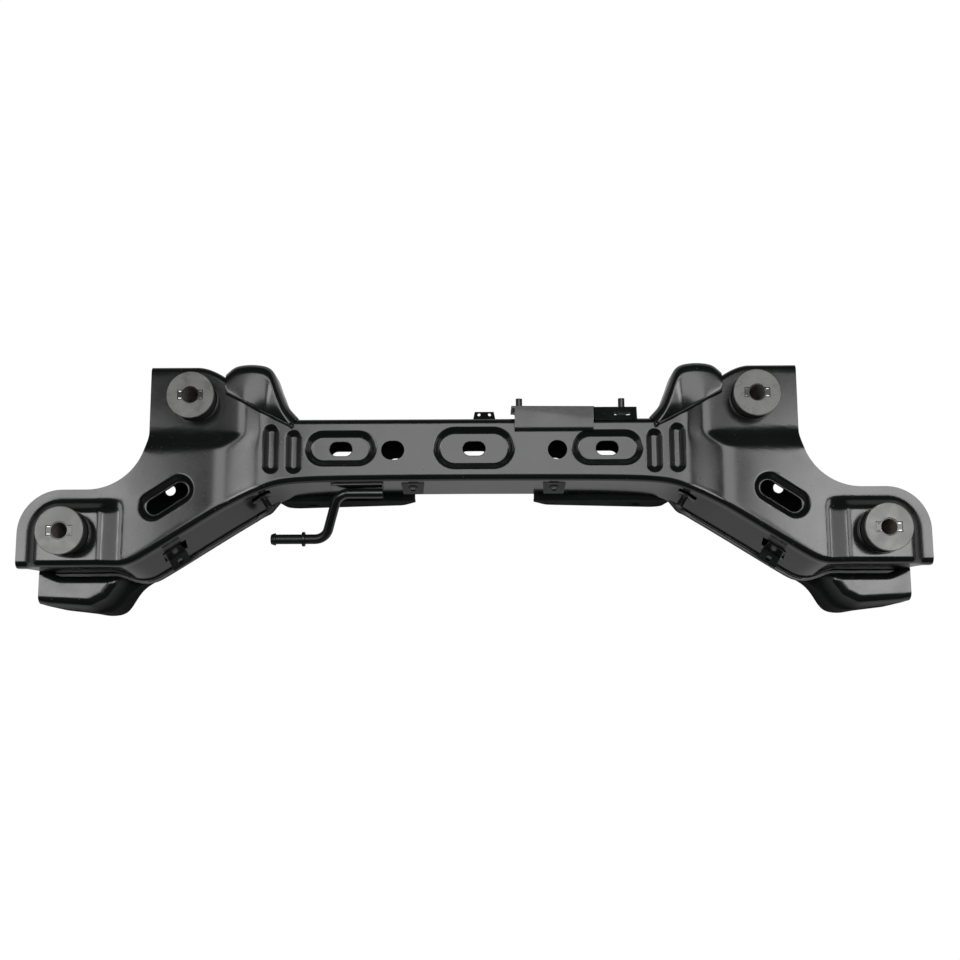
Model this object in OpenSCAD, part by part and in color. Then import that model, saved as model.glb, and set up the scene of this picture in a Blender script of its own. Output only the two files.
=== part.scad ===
// Rear suspension subframe: a welded box of two pressed steel panels on four body bushes.
// X runs across the car, +Y to the rear, +Z up. The floor that it rests on is Z = 0.

/* [Outline] */
// Half of the width over the arm tips
half_width = 540; // [532:1:548]
// Half of the width over the rear bush plateaus
neck_half = 391; // [388:1:394]
// Front edge of the middle beam
beam_front = 7; // [5:0.5:9]
// Depth of the middle beam, front edge to rear edge
beam_depth = 73; // [71:0.5:75]
// Front edge of the arm tips
tip_front = -98; // [-101:0.5:-96]
// Rear edge of the rear bush plateaus
plateau_rear = 143.5; // [141:0.5:145]
// Rear edge of the arm tips, in the side notch
notch_rear = -8; // [-11:0.5:-5]

/* [Pressing] */
// Thickness of both pressed panels
sheet = 3; // [2.5:0.1:3.2]
// Height of the beam's top face above the floor
beam_top = 128; // [124:0.5:134]
// Height of the lower panel's underside above the floor
floor_height = 62; // [59:0.5:65]
// Rise of the arms above the beam
arm_rise = 16; // [13:0.5:19]
// Rise of the rear bush plateaus above the beam
rear_rise = 8; // [6:0.5:10]
// Rise of the front bush plateaus above the arms
front_rise = 13; // [10:0.5:15]
// Outer radius of the panels' bent edges
bend_radius = 7; // [6:0.5:8]

/* [Dishes and beads] */
// Depth of the dishes, the slot rings and the beads
dish_depth = 6; // [5:0.5:7]
// Length of the middle dish
middle_dish_length = 97; // [92:0.5:100]
// Length of the two side dishes
side_dish_length = 85; // [80:0.5:88]
// Distance of the side dishes from the middle
side_dish_x = 161; // [158:0.5:163]
// Length of the slot hole in each dish
slot_length = 29; // [26:0.5:31]
// Width of the slot hole in each dish
slot_width = 19; // [17:0.5:21]
// Diameter of the locating holes
locating_hole_d = 23.5; // [20:0.5:24]

/* [Body bushes] */
// Distance of the rear bushes from the plateaus' outer edge
rear_bush_edge = 55; // [53:0.5:57]
// Rearward place of the rear bushes
rear_bush_y = 102; // [99:0.5:104]
// Distance of the front bushes from the arm tips' outer edge
front_bush_edge = 63; // [61:0.5:66]
// Rearward place of the front bushes
front_bush_y = -62; // [-63:0.5:-59]
// Outside diameter of the bush sleeves
bush_sleeve_d = 56; // [52:0.5:57]
// Diameter of the washers on top of the bushes
bush_washer_d = 56; // [53:0.5:58]
// Thickness of those washers
bush_washer_t = 4; // [3:0.25:5]
// Height of the washers' top above the plateau
bush_stand_off = 29; // [25:0.5:33]
// Bore of the bush cores for the body bolts
bush_bore_d = 18.4; // [16:0.2:19]

/* [Brackets] */
// Front face of the outer link brackets
link_front = -149; // [-151:0.5:-145]
// Bore for the link bolts
link_bolt_d = 12.4; // [10:0.2:14]
// Front face of the brackets below the beam
beam_bracket_front = -11; // [-13:0.5:-9]
// Clear gap between the ears of a beam bracket
beam_bracket_gap = 74; // [72:0.5:76]
// Thickness of the bracket plates
bracket_sheet = 3.5; // [3:0.1:4]
// Rearmost edge of the gussets
gusset_rear = 149; // [147:0.5:152]
// Distance between the two studs at the rear
stud_spacing = 125; // [121:0.5:129]
// Diameter of those studs
stud_d = 8; // [6:0.5:10]
// Diameter of the hanger rod
rod_d = 12; // [10:0.5:13]

/* [Hidden] */
$fn = 64;

// Clearance between parts that are welded or seated face to face
weld_gap = 0.3;
// Clearance between the lapped walls of the two panels
lap_gap = 1.5;
// Clearance round a pressed-in or clipped-in part
seat = 0.1;
// Overshoot of a cutting shape
over = 1;
// How far a pressed hollow's cutter stands above the face that it opens in
hair = 0.01;

paint = "#3c3d3e";
dark_paint = "#2b2c2d";
rubber_colour = "#1c1c1c";
bright = "#b9bab8";

// Plan of the panels: a is the distance from the middle, whichever the side
beam_rear = beam_front + beam_depth;
arm_lean = 0.65;
arm_reach = 294;
arm_bend_in = half_width - arm_reach;
arm_bend_out = arm_bend_in + (beam_front - tip_front) / arm_lean;
notch_width = half_width - neck_half;
tip_radius = min(52, 0.35 * notch_width);
tip_side_front = tip_front + 14;
notch_radius = min(70, 0.47 * notch_width);
rear_bush_x = neck_half - rear_bush_edge;
front_bush_x = half_width - front_bush_edge;
notch_centre = [neck_half + notch_radius, notch_rear + notch_radius];
neck_run = 120;
neck_out = neck_half - 56;
neck_in = neck_out - neck_run;

// Slopes between the levels of the top face
slope_in = 256;
arm_slope_out = 302;
rear_slope_out = 278;
step_front = 39;
step_rear = 64;
plateau_rim = 11;
plateau_wall = 13;
plateau_in = 424;
plateau_in_wall = 18;

function smooth(t) = let (c = max(0, min(1, t))) c * c * (3 - 2 * c);
function ramp(t, width) = (t + sqrt(t * t + width * width)) / 2;
function between(p, q, t) = p + (q - p) * t;
function unit(v) = v / norm(v);

function front_y(a) =
    beam_front - arm_lean * (ramp(a - arm_bend_in, 27) - ramp(a - arm_bend_out, 12));
function rear_y(a) = beam_rear + (plateau_rear - beam_rear) * smooth((a - neck_in) / (neck_out - neck_in));

function plateau_lift(a, y) =
    let (over_x = max(a - half_width + tip_radius, 0))
    let (over_y = max(y - notch_rear + tip_radius, 0))
    let (inside = tip_radius - norm([over_x, over_y]))
    front_rise * smooth((inside - plateau_rim) / plateau_wall) * smooth((a - plateau_in) / plateau_in_wall);
function top_z(a, y) =
    let (back = smooth((y - step_front) / (step_rear - step_front)))
    let (level = between(arm_rise, rear_rise, back))
    let (slope_out = between(arm_slope_out, rear_slope_out, back))
    beam_top + level * smooth((a - slope_in) / (slope_out - slope_in)) + plateau_lift(a, y);

neck_steps = 11;
// The rim of half a panel, from the arm tip round the notch and the plateau to the middle
rim = concat(
    [for (k = [0:2]) [half_width, between(tip_side_front, notch_rear - tip_radius, k / 3)]],
    [for (k = [0:5]) [half_width - tip_radius, notch_rear - tip_radius] + tip_radius * [cos(18 * k), sin(18 * k)]],
    [[(half_width - tip_radius + notch_centre.x) / 2, notch_rear]],
    [for (k = [0:6]) notch_centre + notch_radius * [cos(270 - 15 * k), sin(270 - 15 * k)]],
    [for (k = [1:4]) [neck_half, between(notch_centre.y, plateau_rear, k / 4)]],
    [for (k = [1:3]) [between(neck_half, neck_out, k / 3), plateau_rear]],
    [for (k = [1:neck_steps]) let (a = between(neck_out, neck_in, k / neck_steps)) [a, rear_y(a)]],
    [for (k = [1:5]) [neck_in * (1 - k / 5), beam_rear]]
);
last = len(rim) - 1;
// The rim has a raw edge up to this point, and a bent-down wall after it
raw_until = 20;
front_stops = [
    [0, half_width], [3, half_width - 10], [8, half_width - 48], [9, half_width - 66],
    [16, neck_half - 14], [20, neck_half - 44], [23, neck_half - 74], [23 + neck_steps, arm_bend_in - 31], [last, 0]
];

// Each station has the front point, its inward normal, the rim point and its inward normal
function front_point(i) = let (a = lookup(i, front_stops)) [a, front_y(a)];
function front_normal(i) = let (a = lookup(i, front_stops)) unit([front_y(a - 1) - front_y(a + 1), 2]);
function rim_normal(i) =
    let (along = (i == last ? [-1, 0] : rim[i + 1] - rim[max(i - 1, 0)]))
    unit([-along.y, along.x]);
function is_raw(i) = i <= raw_until;

// Outward lean of the front wall at its foot
beam_lean = 5.5;
arm_wall_lean = 18;
tip_lean = 2;
arm_lean_in = arm_bend_in - 26;
arm_lean_run = 60;
tip_lean_in = arm_bend_in + 149;
tip_lean_run = 45;
function front_lean(a) =
    let (at_arm = between(beam_lean, arm_wall_lean, smooth((a - arm_lean_in) / arm_lean_run)))
    between(at_arm, tip_lean, smooth((a - tip_lean_in) / tip_lean_run));
rear_lean = 2;
wall_foot = floor_height + 14;
lip_height = floor_height + 30;
lower_radius = 6;
raw_inset = 5;

bend_steps = 3;
lower_bend_steps = 2;
across_steps = 11;
floor_steps = 2;

function with_z(p, z) = [p.x, p.y, z];
function bend_angles() = [for (k = [0:bend_steps]) 90 * k / bend_steps];

// One half of the upper panel's section: inset is 0 for the outer skin and the sheet for the inner one
function upper_section(i, inset) =
    let (front = front_point(i), front_in = front_normal(i), edge = rim[i], edge_in = rim_normal(i))
    let (start = front + front_in * bend_radius, finish = edge + edge_in * bend_radius)
    let (start_z = top_z(start.x, start.y), finish_z = top_z(finish.x, finish.y))
    let (radius = bend_radius - inset)
    concat(
        [with_z(front - front_in * (front_lean(front.x) - inset), wall_foot)],
        [for (k = [bend_steps:-1:0]) let (turn = 90 * k / bend_steps)
            with_z(start - front_in * radius * sin(turn), start_z - bend_radius + radius * cos(turn))],
        [for (k = [1:across_steps - 1]) let (p = between(start, finish, k / across_steps))
            with_z(p, top_z(p.x, p.y) - inset)],
        is_raw(i)
            ? [for (k = [0:bend_steps + 1])
                let (p = between(finish, edge, k / (bend_steps + 1))) with_z(p, top_z(p.x, p.y) - inset)]
            : concat(
                [for (turn = bend_angles())
                    with_z(finish - edge_in * radius * sin(turn), finish_z - bend_radius + radius * cos(turn))],
                [with_z(edge - edge_in * (rear_lean - inset), wall_foot)])
    );

// Where the front wall begins below its bent edge
function front_crest(i) =
    let (p = front_point(i) + front_normal(i) * bend_radius) top_z(p.x, p.y) - bend_radius;

// How far a leaning wall stands outside its bent edge at height z
function lean_at(lean, crest, z) = lean * (crest - z) / (crest - wall_foot);

// The lowest that the top face is close in front of p and behind it
function lowest_near(p) = min([for (step = [-8, 0, 8]) top_z(p.x, p.y + step)]);

// One half of the lower panel's section: inset is the sheet for the inner skin and 0 for the outer one
function lower_section(i, inset) =
    let (front = front_point(i), front_in = front_normal(i), edge = rim[i], edge_in = rim_normal(i))
    let (crest = front_crest(i), lean = front_lean(front.x))
    let (turn_z = floor_height + lower_radius, radius = lower_radius - inset)
    let (front_lip = lean_at(lean, crest, lip_height) + lap_gap + sheet)
    let (front_turn = lean_at(lean, crest, turn_z) + lap_gap + sheet)
    let (rear_turn = is_raw(i) ? -raw_inset : -sheet - lap_gap)
    let (under = edge + edge_in * raw_inset)
    let (rear_top = is_raw(i) ? lowest_near(under) - sheet - weld_gap : lip_height)
    let (start = front - front_in * (front_turn - lower_radius), finish = edge - edge_in * (rear_turn - lower_radius))
    concat(
        [with_z(front - front_in * (front_lip - inset), lip_height)],
        [for (k = [0:lower_bend_steps]) let (turn = 90 * k / lower_bend_steps)
            with_z(start - front_in * radius * cos(turn), turn_z - radius * sin(turn))],
        [for (k = [1:floor_steps - 1]) with_z(between(start, finish, k / floor_steps), floor_height + inset)],
        [for (k = [lower_bend_steps:-1:0]) let (turn = 90 * k / lower_bend_steps)
            with_z(finish - edge_in * radius * cos(turn), turn_z - radius * sin(turn))],
        [with_z(edge - edge_in * (rear_turn - inset), rear_top)]
    );

function mirrored(points) = [for (p = points) [-p.x, p.y, p.z]];

// A closed sheet between two skins, each a list of sections along X with as many points each
module skinned_sheet(outer, inner) {
    rows = len(outer);
    points_in_row = len(outer[0]);
    skin = rows * points_in_row;
    function at(row, k) = row * points_in_row + k;
    function quad(p, q, r, s) = [[p, q, r], [p, r, s]];
    faces = concat(
        [for (i = [0:rows - 2], k = [0:points_in_row - 2])
            each quad(at(i, k), at(i, k + 1), at(i + 1, k + 1), at(i + 1, k))],
        [for (i = [0:rows - 2], k = [0:points_in_row - 2])
            each quad(skin + at(i + 1, k), skin + at(i + 1, k + 1), skin + at(i, k + 1), skin + at(i, k))],
        [for (i = [0:rows - 2]) each quad(at(i, 0), at(i + 1, 0), skin + at(i + 1, 0), skin + at(i, 0))],
        [for (i = [0:rows - 2], k = points_in_row - 1)
            each quad(at(i + 1, k), at(i, k), skin + at(i, k), skin + at(i + 1, k))],
        [for (k = [0:points_in_row - 2])
            each quad(at(0, k + 1), at(0, k), skin + at(0, k), skin + at(0, k + 1))],
        [for (i = rows - 1, k = [0:points_in_row - 2])
            each quad(at(i, k), at(i, k + 1), skin + at(i, k + 1), skin + at(i, k))]
    );
    polyhedron(points = concat([for (row = outer) each row], [for (row = inner) each row]), faces = faces);
}

function whole(half) =
    concat([for (row = half) mirrored(row)], [for (i = [last - 1:-1:0]) half[i]]);

// A flat shape with round ends along X
module stadium(length, width) {
    reach = (length - width) / 2;
    for (side = [-1, 1]) translate([side * reach, 0]) circle(d = width);
    square([2 * reach, width], center = true);
}

// A dish with sloping sides, its open top at z = 0 and its floor below
module dish_bowl(length, width, depth, slope) {
    reach = (length - width) / 2;
    for (side = [-1, 1])
        translate([side * reach, 0, -depth]) cylinder(h = depth, r1 = width / 2 - slope, r2 = width / 2);
    rotate([90, 0, 90]) linear_extrude(2 * reach, center = true)
        polygon([[-width / 2 + slope, -depth], [width / 2 - slope, -depth], [width / 2, 0], [-width / 2, 0]]);
}

dish_slope = 7;
bead_slope = 5;
dish_y = beam_front + beam_depth / 2;
middle_dish_width = 51;
side_dish_width = 43;
// Each dish: x, length, width
dishes = [
    [-side_dish_x, side_dish_length, side_dish_width],
    [0, middle_dish_length, middle_dish_width],
    [side_dish_x, side_dish_length, side_dish_width]
];
// Each bead: distance from the middle, front end, rear end
beads = [[245, beam_front + 6, beam_rear - 7], [217.5, beam_front + 6, beam_rear - 14]];
bead_width = 19;
locating_y = dish_y - 2.5;
locating_left_x = -98;
locating_right_x = 100.5;
locating_oblong = 4.5;

arm_slot_from_bend = 119.5;
arm_slot_x = arm_bend_in + arm_slot_from_bend;
arm_slot_y = -18;
arm_slot_angle = 33;
arm_slot_length = 56;
arm_slot_width = 20;
arm_ring_width = 43;
arm_hole_d = 13;
arm_hole_from_bend = 133;
arm_hole_x = arm_bend_in + arm_hole_from_bend;
arm_hole_y = 3;
// How far the lower panel's slots are in front of the dishes' slots
lower_slot_shift = 3.5;

module at_beads(side, bead) {
    translate([side * bead[0], (bead[1] + bead[2]) / 2, beam_top]) rotate(90) children();
}

module at_arm_slots(z) {
    for (side = [-1, 1])
        translate([side * arm_slot_x, arm_slot_y, z]) rotate(-side * arm_slot_angle) children();
}

// Round bars through all four bush places
module bush_bars(d, z, h) {
    for (side = [-1, 1]) {
        translate([side * rear_bush_x, rear_bush_y, z]) cylinder(h = h, d = d);
        translate([side * front_bush_x, front_bush_y, z]) cylinder(h = h, d = d);
    }
}

// All the pressed hollows of the upper panel, grown downward by drop
module hollows(drop) {
    for (d = dishes)
        translate([d[0], dish_y, beam_top]) dish_bowl(d[1], d[2], dish_depth + drop, dish_slope);
    for (side = [-1, 1], bead = beads)
        at_beads(side, bead) dish_bowl(bead[2] - bead[1], bead_width, dish_depth + drop, bead_slope);
    at_arm_slots(beam_top + arm_rise)
        dish_bowl(arm_slot_length + arm_ring_width - arm_slot_width, arm_ring_width, dish_depth + drop, dish_slope);
}

// Where the cuts through the upper panel begin below the beam's top, and how tall they are
cut_below = 20;
cut_height = 80;

module upper_panel() {
    half_outer = [for (i = [0:last]) upper_section(i, 0)];
    half_inner = [for (i = [0:last]) upper_section(i, sheet)];
    color(paint) difference() {
        union() {
            skinned_sheet(whole(half_outer), whole(half_inner));
            hollows(sheet);
        }
        translate([0, 0, hair]) hollows(0);
        for (d = dishes)
            translate([d[0], dish_y, beam_top - cut_below]) linear_extrude(cut_height)
                stadium(slot_length, slot_width);
        translate([locating_left_x, locating_y, beam_top - cut_below]) linear_extrude(cut_height)
            stadium(locating_hole_d + locating_oblong, locating_hole_d);
        translate([locating_right_x, locating_y, beam_top - cut_below]) cylinder(h = cut_height, d = locating_hole_d);
        at_arm_slots(beam_top - cut_below) linear_extrude(cut_height) stadium(arm_slot_length, arm_slot_width);
        bush_bars(bush_sleeve_d + 2 * seat, beam_top - cut_below, cut_height);
    }
}

module lower_panel() {
    half_outer = [for (i = [0:last]) lower_section(i, 0)];
    half_inner = [for (i = [0:last]) lower_section(i, sheet)];
    color(dark_paint) difference() {
        skinned_sheet(whole(half_inner), whole(half_outer));
        for (d = dishes)
            translate([d[0], dish_y - lower_slot_shift, floor_height - over]) linear_extrude(sheet + 2 * over)
                stadium(slot_length + 8, slot_width);
        for (x = [locating_left_x, locating_right_x])
            translate([x, locating_y - lower_slot_shift, floor_height - over])
                cylinder(h = sheet + 2 * over, d = locating_hole_d);
        for (side = [-1, 1])
            translate([side * arm_hole_x, arm_hole_y, floor_height - over])
                cylinder(h = sheet + 2 * over, d = arm_hole_d);
        bush_bars(bush_sleeve_d + 2 * seat, floor_height - over, sheet + lower_radius + over);
    }
}

// Gusset: a saddle pressing from a weld line on the top face, over the inner corner and down the rear
gusset_from_neck = 91;
gusset_out = neck_half - gusset_from_neck;
gusset_weld = [[gusset_out - 1, 112], [gusset_out - 81, 71]];
gusset_edge = [
    [gusset_out, 137], [gusset_out - 13, gusset_rear - 2], [gusset_out - 36, gusset_rear],
    [gusset_out - 56, gusset_rear - 7], [gusset_out - 68, 116], [gusset_out - 76, 98], [gusset_out - 88, 89]
];
gusset_steps = 14;
gusset_radius = 14;
gusset_crown = 5;
gusset_gap = 2 * weld_gap;
gusset_foot = lip_height + 4;
gusset_top_steps = 5;

function spline(points, t) =
    let (n = len(points) - 1, i = min(floor(t * n), n - 1), u = t * n - i)
    let (p = points[max(i - 1, 0)], q = points[i], r = points[i + 1], s = points[min(i + 2, n)])
    (2 * q + (r - p) * u + (2 * p - 5 * q + 4 * r - s) * u * u + (3 * q - p - 3 * r + s) * u * u * u) / 2;

// Height that clears the top face at p and a little further up its slope
function clear_z(p) = max(top_z(p.x, p.y), top_z(p.x + 3, p.y));

function gusset_section(i, inset) =
    let (t = i / gusset_steps, weld = between(gusset_weld[0], gusset_weld[1], t))
    let (corner = spline(gusset_edge, t), edge = [corner.x, min(corner.y, gusset_rear)])
    let (out = unit(edge - weld), start = edge - out * gusset_radius)
    let (weld_z = clear_z(weld) + gusset_gap + sheet)
    let (start_z = between(beam_top + rear_rise, beam_top, t) + gusset_gap + sheet + 1)
    let (radius = gusset_radius - inset)
    concat(
        [for (k = [0:gusset_top_steps - 1]) let (u = k / gusset_top_steps)
            let (p = between(weld, start, u), crown = gusset_crown * 4 * u * (1 - u))
            with_z(p, max(between(weld_z, start_z, u) + crown, clear_z(p) + gusset_gap + sheet) - inset)],
        [for (turn = bend_angles())
            with_z(start + out * radius * sin(turn), start_z - gusset_radius + radius * cos(turn))],
        [with_z(start + out * radius, gusset_foot)]
    );

module gusset(side) {
    order = side < 0 ? [for (i = [0:gusset_steps]) i] : [for (i = [gusset_steps:-1:0]) i];
    outer = [for (i = order) gusset_section(i, 0)];
    inner = [for (i = order) gusset_section(i, sheet)];
    color(paint) skinned_sheet(
        side < 0 ? [for (row = outer) mirrored(row)] : outer,
        side < 0 ? [for (row = inner) mirrored(row)] : inner
    );
}

// Outer link bracket: an inverted trough in front of the arm tip, open to the outside and below,
// with a raised face that ends in a lower skirt on the inner side
link_out = half_width - 10;
link_skew = 8;
link_back = tip_front - tip_lean - sheet - lap_gap - 3 * weld_gap;
link_top = lip_height - 5;
link_bolt_x = half_width - 42;
link_bolt_z = 32;
link_foot_x = half_width - 88;
link_join_x = half_width - 128;
link_back_x = half_width - 100;
link_skirt_top = floor_height - weld_gap;
link_tail_x = half_width - 164;
link_tail_radius = 4;
link_tail_drop = 14;
link_lip = 3;
link_face_in = half_width - 96;
link_face_radius = 14;
link_face_slant = 26;

module link_root() {
    translate([link_join_x, link_back - 16]) circle(r = 5);
    translate([link_back_x, link_back - 1]) square(1);
}

module link_plan(inset) {
    offset(delta = -inset) {
        hull() {
            translate([link_out - 1, link_back - 10]) square([1, 10]);
            translate([link_out - 10, link_front + link_skew + 10]) circle(r = 10);
            translate([link_foot_x + 10, link_front + 18]) circle(r = 18);
            link_root();
        }
        hull() {
            link_root();
            translate([link_tail_x, link_back + 2 * link_tail_radius]) circle(r = link_tail_radius);
        }
    }
}

module link_face(inset) {
    offset(delta = -inset) hull() {
        translate([link_out - 1, link_back - 10]) square([1, 10]);
        translate([link_out - 10, link_front + link_lip + link_skew + 10]) circle(r = 10);
        translate([link_face_in + link_face_slant, link_front + link_lip + link_face_radius])
            circle(r = link_face_radius);
        translate([link_face_in, link_back - 1]) square(1);
    }
}

// The side view of its ears: deep round the bolt and flat where it stands
module link_ear() {
    hull() {
        translate([link_join_x - 8, link_top - 40]) square([link_out - link_join_x + 8, 40]);
        translate([link_bolt_x, link_bolt_z]) circle(r = link_bolt_z);
        translate([link_foot_x, 22]) circle(r = 22);
        translate([link_tail_x - link_tail_radius, link_skirt_top - link_tail_drop])
            square([link_tail_radius, link_tail_drop]);
    }
}

module link_bracket(side) {
    depth = link_back - link_front;
    color(dark_paint) mirror([side < 0 ? 1 : 0, 0, 0]) difference() {
        intersection() {
            union() {
                linear_extrude(link_skirt_top) link_plan(0);
                linear_extrude(link_top) link_face(0);
            }
            translate([0, link_back + 3 * link_tail_radius + over, 0]) rotate([90, 0, 0])
                linear_extrude(depth + 3 * link_tail_radius + 2 * over) link_ear();
        }
        translate([0, 0, -over]) linear_extrude(link_skirt_top - bracket_sheet + over)
            link_plan(bracket_sheet);
        translate([0, 0, -over]) linear_extrude(link_top - bracket_sheet + over) {
            link_face(bracket_sheet);
            translate([link_out - 20, link_front + link_lip + link_skew + bracket_sheet])
                square([40, depth - link_lip - link_skew - 2 * bracket_sheet]);
        }
        translate([link_bolt_x, link_back + over, link_bolt_z]) rotate([90, 0, 0])
            cylinder(h = depth + 2 * over, d = link_bolt_d);
    }
}

// Bracket below the beam: two angle plates across the car, each an ear with a flange under the floor
beam_bracket_in = 74;
beam_bracket_out = 245;
beam_bracket_top = floor_height - weld_gap;
beam_bracket_depth = beam_bracket_gap + 2 * bracket_sheet;
beam_bolt_x = 205;
beam_bolt_z = 26;
ear_corner = 16;
ear_rise = 22;
ear_flange = 17;

module beam_ear() {
    hull() {
        translate([beam_bracket_in, beam_bracket_top - 12]) square([beam_bracket_out - beam_bracket_in, 12]);
        translate([beam_bracket_in + 26, ear_corner + ear_rise]) circle(r = ear_corner);
        translate([beam_bracket_out - 20, ear_corner]) circle(r = ear_corner);
    }
}

module beam_bracket(side, rear) {
    ear_y = rear ? beam_bracket_front + beam_bracket_depth - bracket_sheet : beam_bracket_front;
    flange_y = rear ? beam_bracket_front + beam_bracket_depth - ear_flange : beam_bracket_front;
    color(dark_paint) mirror([side < 0 ? 1 : 0, 0, 0]) difference() {
        union() {
            translate([0, ear_y + bracket_sheet, 0]) rotate([90, 0, 0]) linear_extrude(bracket_sheet) beam_ear();
            translate([beam_bracket_in, flange_y, beam_bracket_top - bracket_sheet])
                cube([beam_bracket_out - beam_bracket_in, ear_flange, bracket_sheet]);
        }
        translate([beam_bolt_x, ear_y + bracket_sheet + over, beam_bolt_z]) rotate([90, 0, 0])
            cylinder(h = bracket_sheet + 2 * over, d = link_bolt_d);
    }
}

// Nuts welded behind the rear ears of the four brackets
nut_flats = 18;
nut_height = 10;
nut_bore_d = link_bolt_d - 1.8;

module link_nuts() {
    color(dark_paint) for (side = [-1, 1], place = [
        [link_bolt_x, link_back + weld_gap, link_bolt_z],
        [beam_bolt_x, beam_bracket_front + beam_bracket_depth + weld_gap, beam_bolt_z]
    ])
        translate([side * place.x, place.y + nut_height, place.z]) rotate([90, 0, 0]) difference() {
            cylinder(h = nut_height, d = nut_flats / cos(30), $fn = 6);
            translate([0, 0, -over]) cylinder(h = nut_height + 2 * over, d = nut_bore_d);
        }
}

// Body bushes: sleeve, rubber, core, washer and bolt retainer on one axis
sleeve_wall = 2.5;
sleeve_proud = 3;
sleeve_below = 8;
core_below = 12;
core_d = bush_bore_d + 10.6;
bumper_d = bush_sleeve_d - 7;
washer_hole_d = bush_bore_d + 1.8;
washer_slot = [30, 11];
retainer_wall = 0.6;
retainer_ear_t = 1.5;
retainer_drop = 1.2;

module at_bush(side, front) {
    x = front ? front_bush_x : rear_bush_x;
    y = front ? front_bush_y : rear_bush_y;
    translate([side * x, y, 0]) children();
}
function plateau_z(front) = front ? top_z(front_bush_x, front_bush_y) : top_z(rear_bush_x, rear_bush_y);
function washer_z(front) = plateau_z(front) + bush_stand_off - bush_washer_t;

// A tube on the z axis
module tube(d, bore, z, h) {
    translate([0, 0, z]) difference() {
        cylinder(h = h, d = d);
        translate([0, 0, -over]) cylinder(h = h + 2 * over, d = bore);
    }
}

module bush_sleeve(side, front) {
    low = floor_height - sleeve_below;
    color(bright) at_bush(side, front)
        tube(bush_sleeve_d, bush_sleeve_d - 2 * sleeve_wall, low, plateau_z(front) + sleeve_proud - low);
}

module bush_rubber(side, front) {
    low = floor_height - sleeve_below + 3;
    mouth = plateau_z(front) + sleeve_proud;
    top = washer_z(front) - seat;
    hole_r = core_d / 2 + seat;
    wide_r = bush_sleeve_d / 2 - sleeve_wall - seat;
    bumper_r = bumper_d / 2;
    color(rubber_colour) at_bush(side, front) rotate_extrude() polygon([
        [hole_r, low + 4], [wide_r - 6, low], [wide_r, low + 4], [wide_r, mouth + 1],
        [bumper_r, mouth + 5], [bumper_r - 3, mouth + 11], [bumper_r, mouth + 16], [bumper_r, top], [hole_r, top]
    ]);
}

module bush_core(side, front) {
    low = floor_height - core_below;
    color(bright) at_bush(side, front) tube(core_d, bush_bore_d, low, washer_z(front) - seat - low);
}

module bush_washer(side, front) {
    color(paint) at_bush(side, front) translate([0, 0, washer_z(front)]) difference() {
        cylinder(h = bush_washer_t, d = bush_washer_d);
        translate([0, 0, -over]) cylinder(h = bush_washer_t + 2 * over, d = washer_hole_d);
        translate([0, 0, bush_washer_t / 2])
            cube([washer_slot.x, washer_slot.y, bush_washer_t + 2 * over], center = true);
    }
}

// A spring ring in the washer's hole with an ear in each side notch
module bolt_retainer(side, front) {
    ring_d = washer_hole_d - 2 * seat;
    ear_z = washer_z(front) + bush_washer_t - retainer_drop - retainer_ear_t;
    color(bright) at_bush(side, front) difference() {
        union() {
            translate([0, 0, washer_z(front)]) cylinder(h = bush_washer_t - retainer_drop, d = ring_d);
            translate([-washer_slot.x / 2 + seat, -washer_slot.y / 2 + seat, ear_z])
                cube([washer_slot.x - 2 * seat, washer_slot.y - 2 * seat, retainer_ear_t]);
        }
        translate([0, 0, washer_z(front) - over])
            cylinder(h = bush_washer_t + 2 * over, d = ring_d - 2 * retainer_wall);
    }
}

// Stud bracket: a folded cover on the beam's rear edge with a long ear
stud_from_neck = 166;
stud_bracket_x = neck_in - stud_from_neck;
stud_cover_length = 95;
stud_bracket_length = 148;
stud_plate = 3;
stud_bracket_top = beam_top + weld_gap + stud_plate;
stud_ledge = 13.5;
stud_lap = 13;
stud_bracket_rear = beam_rear + stud_ledge;
stud_wall_drop = 34;
stud_x = stud_bracket_x + 6;
stud_drop = 18;
stud_z = stud_bracket_top - stud_drop;
stud_proud = 13;
stud_head_d = 14;
stud_head_t = 3;
ear_slot_in = 18;
ear_slot_length = 20;
ear_slot_width = 4;

module stud_bracket() {
    color(dark_paint) difference() {
        union() {
            translate([stud_bracket_x, beam_rear - stud_lap, stud_bracket_top - stud_plate])
                cube([stud_cover_length, stud_ledge + stud_lap, stud_plate]);
            translate([stud_bracket_x, beam_rear - 1, stud_bracket_top - stud_plate])
                cube([stud_bracket_length, stud_bracket_rear - beam_rear + 1, stud_plate]);
            translate([stud_bracket_x - 4, stud_bracket_rear - stud_plate, stud_bracket_top - stud_wall_drop])
                cube([stud_bracket_length + 4, stud_plate, stud_wall_drop]);
        }
        for (x = [stud_x, stud_x + stud_spacing])
            translate([x, stud_bracket_rear + over, stud_z]) rotate([90, 0, 0])
                cylinder(h = stud_plate + 2 * over, d = stud_d);
        translate([stud_bracket_x + stud_bracket_length - ear_slot_in, beam_rear + stud_ledge / 3,
            stud_bracket_top - stud_plate - over])
            linear_extrude(stud_plate + 2 * over) stadium(ear_slot_length, ear_slot_width);
    }
}

module bracket_studs() {
    color(dark_paint) for (x = [stud_x, stud_x + stud_spacing])
        translate([x, stud_bracket_rear, stud_z]) rotate([-90, 0, 0]) {
            translate([0, 0, seat]) cylinder(h = stud_proud - seat, d = stud_d);
            translate([0, 0, -stud_plate - weld_gap])
                cylinder(h = stud_plate + weld_gap + over, d = stud_d - 2 * seat);
            translate([0, 0, -stud_plate - weld_gap - stud_head_t]) cylinder(h = stud_head_t, d = stud_head_d);
        }
}

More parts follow.
